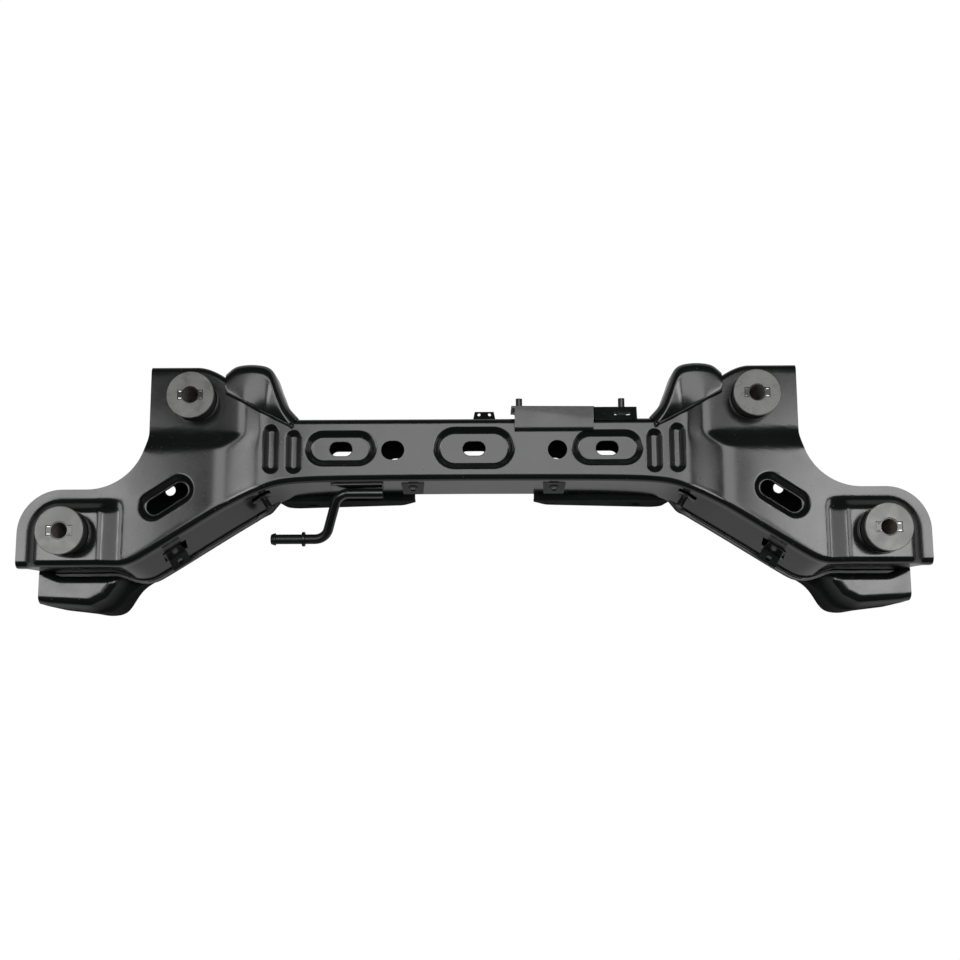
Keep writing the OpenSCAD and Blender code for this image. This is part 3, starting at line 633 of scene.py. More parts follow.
@dataclass(frozen=True)
class PressedBox:
    """Sizes of the two pressed panels in millimetres, near the solids' and fitted to the photograph."""

    half_width: float = 540.0
    neck_half: float = 389.8
    beam_front: float = 7.0
    beam_rear: float = 80.0
    tip_front: float = -98.0
    plateau_rear: float = 143.5
    notch_rear: float = -8.0
    sheet: float = 3.0
    beam_top: float = 128.0
    floor_height: float = 62.0
    arm_rise: float = 16.0
    rear_rise: float = 8.0
    front_rise: float = 12.2
    bend_radius: float = 7.0
    front_radius: float = 8.5
    front_swell: float = 2.5
    beam_foot: float = 64.0
    arm_lean: float = 0.65
    arm_bend_in: float = 246.0
    tip_radius: float = 52.0
    notch_radius: float = 70.0
    neck_in: float = 215.0
    neck_out: float = 335.0
    wall_foot: float = 76.0
    lip_height: float = 92.0
    front_lip: float = 79.0
    lower_radius: float = 6.0
    lap_gap: float = 1.0
    lap_inside: float = 0.6
    wall_knee: float = 81.5
    raw_inset: float = 5.0
    weld_gap: float = 0.3
    rear_lean: float = 2.0
    tip_corner: float = 14.0
    bend_ease: Span = (27.0, 12.0)
    wall_leans: Point = (5.5, 18.0, 0.5)
    arm_lean_span: Span = (220.0, 280.0)
    tip_lean_span: Span = (395.0, 440.0)
    arm_span: Span = (215.0, 275.0)
    foot_span: Span = (512.0, 532.0)
    foot_short: float = 52.0
    plateau_inset: Span = (14.0, 26.5)
    plateau_span: Span = (418.5, 438.5)
    back_span: Span = (39.0, 64.0)
    slope_start: float = 256.0
    slope_ends: Span = (302.0, 278.0)
    corner_turn: Span = (19.2, 20.8)
    slot_x: float = 161.0
    slot_y: float = 43.5
    arm_slot: Span = (365.5, -18.0)
    arm_slot_turn: float = math.radians(33)
    rear_bush: Span = (336.0, 102.0)
    front_bush: Span = (477.0, -62.0)
    bush_hole: float = 56.2
    rear_plateau: float = 136.0
    front_plateau: float = 157.0

    def front_y(self, a: Array) -> Array:
        """Front edge at a distance from the middle, with the swell that the bend leaves."""
        bend_out = self.arm_bend_in + (self.beam_front - self.tip_front) / self.arm_lean
        ease_in, ease_out = self.bend_ease
        bent = soft_ramp(a - self.arm_bend_in, ease_in) - soft_ramp(a - bend_out, ease_out)
        return self.beam_front - self.front_swell - self.arm_lean * bent

    def rear_y(self, a: Array) -> Array:
        """Rear edge at a distance from the middle."""
        ease = eased(a, (self.neck_in, self.neck_out))
        return self.beam_rear + (self.plateau_rear - self.beam_rear) * ease

    def front_inward(self, a: Array) -> Array:
        """Inward direction at the front edge."""
        slope = self.front_y(a - 1) - self.front_y(a + 1)
        return unit_rows(np.stack([slope, np.full_like(slope, 2.0)], -1))

    def front_lean(self, a: Array) -> Array:
        """How far the front wall leans out at its foot."""
        beam, arm, tip = self.wall_leans
        lean = beam + (arm - beam) * eased(a, self.arm_lean_span)
        return lean + (tip - lean) * eased(a, self.tip_lean_span)

    def arm_share(self, a: Array) -> Array:
        """How far the front wall has passed from the beam's form to the arms'."""
        return eased(a, self.arm_span)

    def foot_z(self, a: Array) -> Array:
        """Height of the upper panel's front foot, which hides the lap along the beam."""
        short = self.foot_short * eased(a, self.foot_span)
        return self.beam_foot + (self.wall_foot - self.beam_foot) * self.arm_share(a) + short

    def lap_out(self, a: Array) -> Array:
        """How far the lower panel stands outside the upper one, which along the beam it is inside of."""
        inside = -self.sheet - self.lap_inside
        return inside + (self.lap_gap + self.sheet - inside) * self.arm_share(a)

    def top_z(self, a: Array, y: Array) -> Array:
        """Height of the top face, without its hollows."""
        over_x = np.maximum(a - self.half_width + self.tip_radius, 0)
        over_y = np.maximum(y - self.notch_rear + self.tip_radius, 0)
        inside = self.tip_radius - np.hypot(over_x, over_y)
        lift = self.front_rise * even_ramp(share_of(inside, self.plateau_inset))
        lift = lift * even_ramp(share_of(a, self.plateau_span), 0.06)
        back = eased(y, self.back_span)
        level = self.arm_rise + (self.rear_rise - self.arm_rise) * back
        slope_end = self.slope_ends[0] + (self.slope_ends[1] - self.slope_ends[0]) * back
        return self.beam_top + level * even_ramp(share_of(a, (self.slope_start, slope_end)), 0.14) + lift

    def arm_outline(self, side: int, length: float, width: float) -> Stadium:
        """An outline round the slot in one arm."""
        x, y = self.arm_slot
        return Stadium(side * x, y, length, width, -side * self.arm_slot_turn)

    def bush_bars(self, side: int, low: float, high: float) -> list[Object]:
        """Adds the bars that cut the bushes' holes on one side."""
        places = (self.rear_bush, self.front_bush)
        return [Stadium(side * x, y, self.bush_hole, self.bush_hole).bar(low, high) for x, y in places]

    def hollows(self) -> list[Hollow]:
        """Every hollow of the upper panel."""
        across = math.pi / 2
        found = [Hollow(Stadium(0, self.slot_y, 97, 51), depth=6, slope=8)]
        for side in (-1, 1):
            found.append(Hollow(Stadium(side * self.slot_x, self.slot_y, 85, 43), depth=6, slope=8))
            found.append(Hollow(Stadium(side * 245, 43, 60, 19, across), depth=6, slope=7.5))
            found.append(Hollow(Stadium(side * 217.5, 39.5, 53, 19, across), depth=6, slope=7.5))
            found.append(Hollow(self.arm_outline(side, 71, 34.5), depth=8, slope=6.8))
        return found

    def rim(self, fineness: float, cut_corner: bool) -> tuple[Array, Array, Array, Array]:
        """The rim of half a panel, from the arm tip round the notch and plateau to the middle.

        Args:
            fineness: 1 for the finest spacing, less for coarser.
            cut_corner: whether the rear wall ends square at the plateau's outer edge, or turns round it.

        Returns:
            Points, inward directions, station numbers and the matching places along the front edge.
        """
        centre = np.array([self.neck_half + self.notch_radius, self.notch_rear + self.notch_radius])
        tip = np.array([self.half_width - self.tip_radius, self.notch_rear - self.tip_radius])
        runs = list(Rim)
        stations = []
        for first, final, count in zip(runs[:-1], runs[1:], (6, 24, 8, 32, 26, 18, 40, 68)):
            steps = max(int(count * fineness), 3)
            stations.append(np.linspace(first, final, steps, endpoint=False))
        s = np.concatenate(stations + [np.array([float(Rim.MIDDLE)])])
        if cut_corner:
            s = np.insert(s, np.searchsorted(s, Rim.PLATEAU), Rim.PLATEAU - 1e-7)
        points = np.zeros((len(s), 2))
        inward = np.zeros((len(s), 2))
        for k, place in enumerate(s):
            if place < Rim.TIP_ROUND:
                front = self.tip_front + self.tip_corner
                y = front + (tip[1] - front) * share_of(place, (Rim.SIDE, Rim.TIP_ROUND))
                points[k], inward[k] = (self.half_width, y), (-1, 0)
            elif place < Rim.NOTCH:
                angle = math.pi / 2 * share_of(place, (Rim.TIP_ROUND, Rim.NOTCH))
                ray = np.array([math.cos(angle), math.sin(angle)])
                points[k], inward[k] = tip + self.tip_radius * ray, -ray
            elif place < Rim.NOTCH_ROUND:
                x = tip[0] + (centre[0] - tip[0]) * share_of(place, (Rim.NOTCH, Rim.NOTCH_ROUND))
                points[k], inward[k] = (x, self.notch_rear), (0, -1)
            elif place < Rim.NECK:
                angle = math.pi / 2 * (3 - share_of(place, (Rim.NOTCH_ROUND, Rim.NECK)))
                ray = np.array([math.cos(angle), math.sin(angle)])
                points[k], inward[k] = centre + self.notch_radius * ray, ray
            elif place < Rim.PLATEAU:
                end = self.plateau_rear - (self.bend_radius if cut_corner else 0)
                y = centre[1] + (end - centre[1]) * share_of(place, (Rim.NECK, Rim.PLATEAU))
                points[k] = (self.neck_half, y)
            elif place < Rim.CURVE:
                share = share_of(place, (Rim.PLATEAU, Rim.CURVE))
                x = self.neck_half + (self.neck_out - self.neck_half) * share
                points[k] = (x, self.plateau_rear)
            else:
                a = np.interp(place, [Rim.CURVE, Rim.BEAM, Rim.MIDDLE], [self.neck_out, self.neck_in, 0])
                points[k] = (a, self.rear_y(np.array(a)))
                slope = float(self.rear_y(np.array(a + 1)) - self.rear_y(np.array(a - 1))) / 2
                inward[k] = np.array([slope, -1]) / math.hypot(slope, 1)
            if Rim.NECK <= place < Rim.CURVE:
                turned = float(place >= Rim.PLATEAU) if cut_corner else float(eased(place, self.corner_turn))
                turn = math.pi / 2 * turned
                inward[k] = (-math.cos(turn), -math.sin(turn))
        # Stations, and the places along the front edge that they run across the panel to
        stops = np.array([
            (0, 540), (3, 530), (8, 492), (9, 474), (16, 377), (20, 347), (23, 317), (34, 215), (39, 0)])
        return points, inward, s, np.interp(s, stops[:, 0], stops[:, 1])

    def upper_half(self, fineness: float) -> Array:
        """The outer skin of half the upper panel, as stations by points by three."""
        edge, edge_in, s, a = self.rim(fineness, True)
        front = np.stack([a, self.front_y(a)], -1)
        front_in = self.front_inward(a)
        r = self.bend_radius
        wide = self.front_radius
        start = front + front_in * wide
        raw_end = (s > Rim.PLATEAU - 0.1) & (s < Rim.PLATEAU)
        along_line = smooth_step((s - Rim.NOTCH) / 2.5) * (s < Rim.PLATEAU)
        strip_in = unit_rows(edge_in + (unit_rows(start - edge) - edge_in) * along_line[:, None])
        strip = r * eased(s, (Rim.SIDE, Rim.TIP_ROUND)) * (1 - raw_end)
        finish = edge + strip_in * strip[:, None]
        start_z = self.top_z(start[:, 0], start[:, 1])
        finish_z = self.top_z(finish[:, 0], finish[:, 1])
        crest = start_z - wide
        foot_z = self.foot_z(a)
        rows = []
        for t in np.linspace(0, 1, 11)[:-1]:
            height = foot_z + (crest - foot_z) * t
            rows.append(at_height(front - front_in * self.lean_at(a, crest, height)[:, None], height))
        for turn in np.radians(np.linspace(90, 0, 9)):
            rows.append(at_height(start - front_in * wide * math.sin(turn), crest + wide * math.cos(turn)))
        for t in np.linspace(0, 1, 37)[1:-1]:
            plan = start + (finish - start) * t
            rows.append(at_height(plan, self.top_z(plan[:, 0], plan[:, 1])))
        bent = []
        for turn in np.radians(np.linspace(0, 90, 7)):
            plan = finish - edge_in * r * math.sin(turn)
            bent.append(at_height(plan, finish_z - r + r * math.cos(turn)))
        for t in np.linspace(0, 1, 5)[1:]:
            plan = edge - edge_in * self.rear_lean * t
            bent.append(at_height(plan, finish_z - r + (self.wall_foot - finish_z + r) * t))
        bent_share = (s >= Rim.PLATEAU).astype(float)[:, None]
        for k, row in enumerate(bent):
            plan = finish + (edge - finish) * (k / (len(bent) - 1))
            raw = at_height(plan, self.top_z(plan[:, 0], plan[:, 1]))
            rows.append(raw + (row - raw) * bent_share)
        return np.stack(rows, 1)

    def lean_at(self, a: Array, crest: Array, z: Array | float) -> Array:
        """How far the front wall stands outside its bent edge; on the arms it is upright at its foot."""
        height = np.maximum(z, self.wall_knee * self.arm_share(a))
        return self.front_lean(a) * (crest - height) / (crest - self.wall_foot)

    def front_spot(self, a: Array, z: float, off: float) -> Array:
        """Places on the front wall at a height, off outside the sheet."""
        plan = np.stack([a, self.front_y(a)], -1)
        inward = self.front_inward(a)
        near = plan + inward * self.front_radius
        crest = self.top_z(near[:, 0], near[:, 1]) - self.front_radius
        out = self.lean_at(a, crest, z) + off
        return at_height(plan - inward * out[:, None], z)

    def wall_block(self, side: Side, a: float, z: float, size: Point, skew: float = 0.0) -> Object:
        """Adds a block that stands through the front wall, to cut with.

        Args:
            side: which half of the panel.
            a: distance from the middle of the car.
            z: height of the block's middle.
            size: length along the wall, depth through it and height.
            skew: how far its top leans along the wall, towards the outside.

        Returns:
            The block.
        """
        spots = self.front_spot(np.array([a - 2.0, a, a + 2.0]), z, 0.0)
        along = unit_rows(spots[2] - spots[0])
        out = unit_rows(np.array([along[1], -along[0], 0.0]))
        block, shape = add_block(size)
        shape[:, 0] += skew * shape[:, 2] / size[2]
        points = spots[1] + shape[:, :1] * along + shape[:, 1:2] * out + shape[:, 2:] * np.array([0, 0, 1.0])
        set_points(block, mirrored(points, side))
        face_out(block)
        return block

    def lower_half(self, fineness: float) -> Array:
        """The outer skin of half the lower panel, as stations by points by three."""
        edge, edge_in, s, a = self.rim(fineness, False)
        a = np.minimum(a, np.interp(s, [Rim.SIDE, Rim.TIP_ROUND, Rim.NOTCH], [529, 522, 492]))
        front = np.stack([a, self.front_y(a)], -1)
        front_in = self.front_inward(a)
        near = front + front_in * self.front_radius
        crest = self.top_z(near[:, 0], near[:, 1]) - self.front_radius
        r = self.lower_radius
        turn_z = self.floor_height + r
        front_lip = turn_z + 3 + (self.front_lip - turn_z - 3) * self.arm_share(a)
        lip = self.lean_at(a, crest, front_lip) + self.lap_out(a)
        bend = self.lean_at(a, crest, turn_z) + self.lap_out(a)
        raw_share = 1 - np.clip(s - Rim.PLATEAU, 0, 1)
        inset = self.sheet + self.lap_gap + (self.raw_inset - self.sheet - self.lap_gap) * raw_share
        under = edge + edge_in * self.raw_inset
        near_under = np.stack([self.top_z(under[:, 0], under[:, 1] + step) for step in (-8, 0, 8)])
        raw_top = near_under.min(axis=0) - self.sheet - self.weld_gap
        rim_top = self.lip_height + (raw_top - self.lip_height) * raw_share
        start = front - front_in * (bend - r)[:, None]
        finish = edge + edge_in * (inset + r)[:, None]
        corner = (s > self.corner_turn[0]) & (s < self.corner_turn[1])
        for axis in (0, 1):
            finish[corner, axis] = np.interp(s[corner], s[~corner], finish[~corner, axis])
        rows = []
        for t in np.linspace(0, 1, 4)[:-1]:
            out = lip + (bend - lip) * t
            rows.append(at_height(front - front_in * out[:, None], front_lip + (turn_z - front_lip) * t))
        for turn in np.radians(np.linspace(0, 90, 6)):
            rows.append(at_height(start - front_in * r * math.cos(turn), turn_z - r * math.sin(turn)))
        for t in np.linspace(0, 1, 15)[1:-1]:
            rows.append(at_height(start + (finish - start) * t, self.floor_height))
        wall = edge + edge_in * inset[:, None]
        for turn in np.radians(np.linspace(90, 0, 6)):
            rows.append(at_height(finish + (wall - finish) * math.cos(turn), turn_z - r * math.sin(turn)))
        for t in np.linspace(0, 1, 5)[1:]:
            rows.append(at_height(wall, turn_z + (rim_top - turn_z) * t))
        return np.stack(rows, 1)

    @staticmethod
    def whole(half: Array) -> Array:
        """Adds the mirrored half to a half skin."""
        left = half * np.array([-1.0, 1.0, 1.0])
        return np.concatenate([left, half[-2::-1]])


@dataclass(frozen=True)
class Panels:
    """The upper and lower pressed panels of the box."""

    box: PressedBox
    finishes: Finishes
    holes: Span = (-98.0, 100.5)
    hole_d: float = 23.5
    beam_cut: Span = (100.0, 150.0)
    arm_cut: Span = (100.0, 170.0)
    floor_cut: Span = (55.0, 68.0)
    floor_bush_cut: Span = (55.0, 72.0)
    tab_place: Span = (363.0, 111.0)
    tab_opening: Point = (31.0, 24.0, 22.0)
    tab_skew: float = -6.0
    stud_place: Span = (259.0, 112.0)
    stud_opening: Point = (24.0, 24.0, 11.0)

    @property
    def slots(self) -> Point:
        """Places of the beam's three slots across the car."""
        return -self.box.slot_x, 0.0, self.box.slot_x

    def build(self) -> None:
        """Builds both panels and the rolled lips of the upper one's slots."""
        self.upper()
        self.lower()

    def refine(self, sheet: Object) -> None:
        """Splits the upper skin's faces near the pressed hollows, and presses the hollows in."""
        hollows = self.box.hollows()
        for reach, chosen in ((8.0, hollows), (2.5, [h for h in hollows if h.outline.turn])):
            centres = np.empty(len(sheet.data.polygons) * 3)
            sheet.data.polygons.foreach_get("center", centres)
            x, y, _ = centres.reshape(-1, 3).T / MM
            near = np.zeros(len(x), bool)
            for hollow in chosen:
                inside = hollow.outline.inside(x, y)
                near |= (inside > -reach) & (inside < hollow.slope + reach)
            activate(sheet)
            bpy.ops.object.mode_set(mode="EDIT")
            bpy.ops.mesh.select_mode(type="FACE")
            bpy.ops.mesh.select_all(action="DESELECT")
            leave_edit()
            sheet.data.polygons.foreach_set("select", near)
            bpy.ops.object.mode_set(mode="EDIT")
            bpy.ops.mesh.subdivide(number_cuts=1)
            leave_edit()
        points = points_of(sheet)
        a = np.abs(points[:, 0])
        y = points[:, 1]
        behind_front = y > self.box.front_y(a) + self.box.front_radius
        before_rear = y < self.box.rear_y(a) - self.box.bend_radius + 0.1
        top = behind_front & before_rear & (points[:, 2] > self.box.beam_top - 2)
        height = self.box.top_z(a, y)
        for hollow in hollows:
            height = height - hollow.drop(points[:, 0], y)
        points[top, 2] = height[top]
        set_points(sheet, points)

    def upper(self) -> None:
        """Builds the upper panel with its hollows, slots and holes."""
        box = self.box
        sheet = shaped_grid(PressedBox.whole(box.upper_half(1.0)))
        edit_all(sheet)
        bpy.ops.mesh.remove_doubles(threshold=0.001 * MM)
        leave_edit()
        turn_up(sheet, True)
        self.refine(sheet)
        thicken(sheet, box.sheet)
        bars = [Stadium(x, box.slot_y, 29, 19).bar(*self.beam_cut) for x in self.slots]
        bars.append(Stadium(self.holes[0], 41, 28, self.hole_d).bar(*self.beam_cut))
        bars.append(Stadium(self.holes[1], 41, self.hole_d, self.hole_d).bar(*self.beam_cut))
        for side in (-1, 1):
            bars.append(box.arm_outline(side, 56, 20).bar(*self.arm_cut))
            bars += box.bush_bars(side, *self.arm_cut)
        for side in Side:
            bars.append(box.wall_block(side, *self.tab_place, self.tab_opening, self.tab_skew))
            bars.append(box.wall_block(side, *self.stud_place, self.stud_opening))
        cut_away(sheet, bars)
        smooth_by_angle(sheet, SHARP_DEGREES)
        keep(sheet, "upper_panel_skin", Slot.PANEL, self.finishes, ["upper_panel"])
        lips = [swept(Stadium(x, box.slot_y, 28.6, 18.6).path(121.2), 0.9, closed=True) for x in self.slots]
        for side in (-1, 1):
            lips.append(swept(box.arm_outline(side, 56.6, 20.6).path(134.6), 1.5, closed=True))
        keep(joined(lips), "slot_lips", Slot.PANEL, self.finishes)

    def lower(self) -> None:
        """Builds the lower panel with its slots and holes."""
        box = self.box
        sheet = shaped_grid(PressedBox.whole(box.lower_half(0.6)))
        turn_up(sheet, False)
        thicken(sheet, box.sheet)
        points = points_of(sheet)
        points[:, 2] = np.maximum(points[:, 2], box.floor_height)
        set_points(sheet, points)
        bars = [Stadium(x, 42, 37, 19).bar(*self.floor_cut) for x in self.slots]
        bars += [Stadium(x, 31, self.hole_d, self.hole_d).bar(*self.floor_cut) for x in self.holes]
        for side in (-1, 1):
            bars.append(Stadium(side * 379, 3, 13, 13).bar(*self.floor_cut))
            bars += box.bush_bars(side, *self.floor_bush_cut)
        cut_away(sheet, bars)
        smooth_by_angle(sheet, SHARP_DEGREES)
        # The bracket coat darkens the lower panel's band with painted shade, its gloss fading out below 84
        # mm.
        keep(sheet, "lower_panel_skin", Slot.BRACKET, self.finishes, ["lower_panel"])


@dataclass(frozen=True)
class Gussets:
    """The two saddle pressings over the inner rear corners."""

    box: PressedBox
    finishes: Finishes
    weld: tuple[Span, Span] = ((299, 112), (219, 71))
    edge: Line = ((300, 135.5), (287, 145), (264, 147), (245, 140.5), (234, 115.5), (226, 97), (214, 83))
    radius: float = 14.0
    crown: float = 0.5
    bulge: float = 3.0
    gap: float = 0.6
    foot: float = 96.0
    rear: float = 147.2
    bead: Span = (0.6, 1.2)

    def edge_at(self, t: float) -> Array:
        """Place on the outer edge, which runs smoothly through its points."""
        n = len(self.edge) - 1
        i = min(int(t * n), n - 1)
        u = t * n - i
        p, q, r, s = (np.array(self.edge[k]) for k in (max(i - 1, 0), i, i + 1, min(i + 2, n)))
        square = 2 * p - 5 * q + 4 * r - s
        cube = 3 * q - p - 3 * r + s
        place = (2 * q + (r - p) * u + square * u * u + cube * u ** 3) / 2
        return np.array([place[0], min(place[1], self.rear)])

    def clear_z(self, p: Array) -> float:
        """Height that clears the panel's top face."""
        return max(float(self.box.top_z(p[0], p[1])), float(self.box.top_z(p[0] + 3, p[1])))

    def section(self, t: float) -> Array:
        """One line across the gusset, from its weld to its foot."""
        sheet = self.box.sheet
        start_of_weld, end_of_weld = np.array(self.weld)
        weld = start_of_weld + (end_of_weld - start_of_weld) * t
        edge = self.edge_at(t)
        out = (edge - weld) / np.linalg.norm(edge - weld)
        start = edge - out * self.radius
        weld_z = self.clear_z(weld) + self.gap + sheet
        start_z = self.box.beam_top + self.box.rear_rise * (1 - t) + self.gap + sheet + 1
        bulge = self.bulge * 4 * t * (1 - t)
        line = []
        for u in np.linspace(0, 1, 25)[:-1]:
            p = weld + (start - weld) * u
            swell = bulge * u + self.crown * 4 * u * (1 - u)
            level = weld_z + (start_z - weld_z) * u + swell
            line.append((*p, max(level, self.clear_z(p) + self.gap + sheet)))
        start_z += bulge
        for turn in np.radians(np.linspace(0, 90, 10)):
            p = start + out * self.radius * math.sin(turn)
            line.append((*p, start_z - self.radius + self.radius * math.cos(turn)))
        for u in np.linspace(0, 1, 5)[1:]:
            z = start_z - self.radius
            line.append((*edge, z + (self.foot - z) * u))
        return np.array(line)

    def build(self) -> None:
        """Builds both gussets."""
        grid = np.stack([self.section(t) for t in np.linspace(0, 1, 57)])
        for side in Side:
            sheet = shaped_grid(mirrored(grid, side))
            turn_up(sheet, True)
            thicken(sheet, self.box.sheet)
            round_edges(sheet, 0.7, 50)
            smooth_by_angle(sheet, SHARP_DEGREES)
            keep(sheet, f"gusset_skin_{side.word}", Slot.PANEL, self.finishes, [f"gusset_{side.word}"])

    def weld_line(self, side: Side) -> Array:
        """Path of the weld along the gusset's front edge."""
        line = []
        start_of_weld, end_of_weld = np.array(self.weld)
        for t in np.linspace(0.0, 1.0, 40):
            p = start_of_weld + (end_of_weld - start_of_weld) * t
            line.append((side.value * p[0], p[1] - self.bead[0], self.clear_z(p) + self.bead[1]))
        return np.array(line)


@dataclass(frozen=True)
class LinkBrackets:
    """The two deep-drawn link brackets under the arm tips, each an open channel with a raised face."""

    finishes: Finishes
    sheet: float = 4.0
    ends: Point = (384.0, 466.0, 530.0)
    tail_start: float = 437.0
    tail_slope: float = 0.16
    face_z: float = 87.0
    skirt_z: float = 56.0
    edge_roll: float = 7.0
    back_bend: float = 9.0
    crown_radius: float = 14.0
    crown_run: float = 10.0
    wall_slope: float = 1.7
    bolt: Point = (498.0, -125.0, 32.0)
    bolt_d: float = 12.4
    front_line: Line = (
        (384, -100), (395, -105.5), (405, -109.5), (415, -114.5), (424, -122), (431, -131.5), (437, -140),
        (445, -146), (455, -148.4), (466, -148.6), (480, -146), (505, -143), (520, -141.5), (530, -138))
    back_line: Line = (
        (384, -93), (410, -101), (440, -105.4), (506, -105.4), (518, -100), (530, -94))
    face_line: Line = ((441, -100), (446, -112), (455, -124), (469, -131), (530, -128))
    foot_line: Line = (
        (384, 40), (440, 3.6), (446, 0.8), (452, 0), (498, 0), (508, 1.6), (518, 7), (526, 16), (530, 30))

    @staticmethod
    def along(line: Line, x: Array) -> Array:
        """Follows a line of points softly at each X."""
        spots = np.array(line)
        near = [np.interp(x + step, spots[:, 0], spots[:, 1]) for step in (-4, -2, 0, 2, 4)]
        return np.mean(near, axis=0)

    def top(self, x: Array, y: Array) -> Array:
        """Height of the drawn top, with the raised face, its shoulder and the rolled front edge."""
        rim = np.column_stack([x, y])
        face = np.array(self.face_line)
        nearest = np.full(len(x), np.inf)
        for first, final in zip(face[:-1], face[1:]):
            way = final - first
            t = np.clip(((rim - first) @ way) / (way @ way), 0, 1)
            nearest = np.minimum(nearest, np.linalg.norm(rim - first - t[:, None] * way, axis=1))
        inner = np.interp(y, face[:4, 1][::-1], face[:4, 0][::-1])
        inside = (y > np.interp(x, face[:, 0], face[:, 1])) & (x > inner)
        beyond = np.where(inside, 0.0, nearest)
        crown = np.minimum(beyond, self.crown_run)
        drop = self.crown_radius - np.sqrt(self.crown_radius ** 2 - crown ** 2)
        drop = drop + self.wall_slope * np.maximum(beyond - self.crown_run, 0)
        floor = self.skirt_z - self.tail_slope * np.maximum(self.tail_start - x, 0)
        return floor + soft_ramp(self.face_z - drop - floor, 5.0)

    def section(self, x: float) -> Array:
        """One line across the channel, from the back ear's foot over the top to the front ear's foot."""
        place = np.array([x])
        back = float(self.along(self.back_line, place)[0])
        front = float(self.along(self.front_line, place)[0])
        foot = float(self.along(self.foot_line, place)[0])
        depth = back - front
        bend = min(self.back_bend, depth * 0.3)
        roll = min(self.edge_roll, depth * 0.5)
        y = np.concatenate([
            back - bend * (1 - np.cos(np.radians(np.linspace(0, 90, 7)))),
            np.linspace(back - bend, front + roll, 26)[1:-1],
            front + roll * (1 - np.sin(np.radians(np.linspace(0, 90, 12))))])
        z = self.top(np.full(len(y), x), y)
        over_back = np.clip(1 - (back - y) / bend, 0, 1)
        over_front = np.clip(1 - (y - front) / roll, 0, 1)
        z = z - bend * (1 - np.sqrt(1 - over_back ** 2)) - roll * (1 - np.sqrt(1 - over_front ** 2))
        line = [(x, back, foot + (z[0] - foot) * t) for t in np.linspace(0, 1, 9)[:-1]]
        line += [(x, y[k], z[k]) for k in range(len(y))]
        line += [(x, front, z[-1] + (foot - z[-1]) * t) for t in np.linspace(0, 1, 9)[1:]]
        return np.array(line)

    def build(self) -> None:
        """Builds both brackets with their bolt holes."""
        tail, shoulder, end = self.ends
        stations = np.concatenate([np.linspace(tail, shoulder, 56)[:-1], np.linspace(shoulder, end, 22)])
        grid = np.stack([self.section(x) for x in stations])
        for side in Side:
            sheet = shaped_grid(mirrored(grid, side))
            turn_up(sheet, True)
            thicken(sheet, self.sheet)
            deselect()
            bpy.ops.mesh.primitive_cylinder_add(
                vertices=48, radius=self.bolt_d / 2 * MM, depth=80 * MM, rotation=(math.pi / 2, 0, 0),
                location=mirrored(np.array(self.bolt), side) * MM)
            cut_away(sheet, [bpy.context.object])
            smooth_by_angle(sheet, SHARP_DEGREES)
            node = f"link_bracket_{side.word}"
            # The bracket coat's painted shade darkens the drawn skirt below 84 mm.
            keep(sheet, f"link_bracket_drawn_{side.word}", Slot.BRACKET, self.finishes, [node])


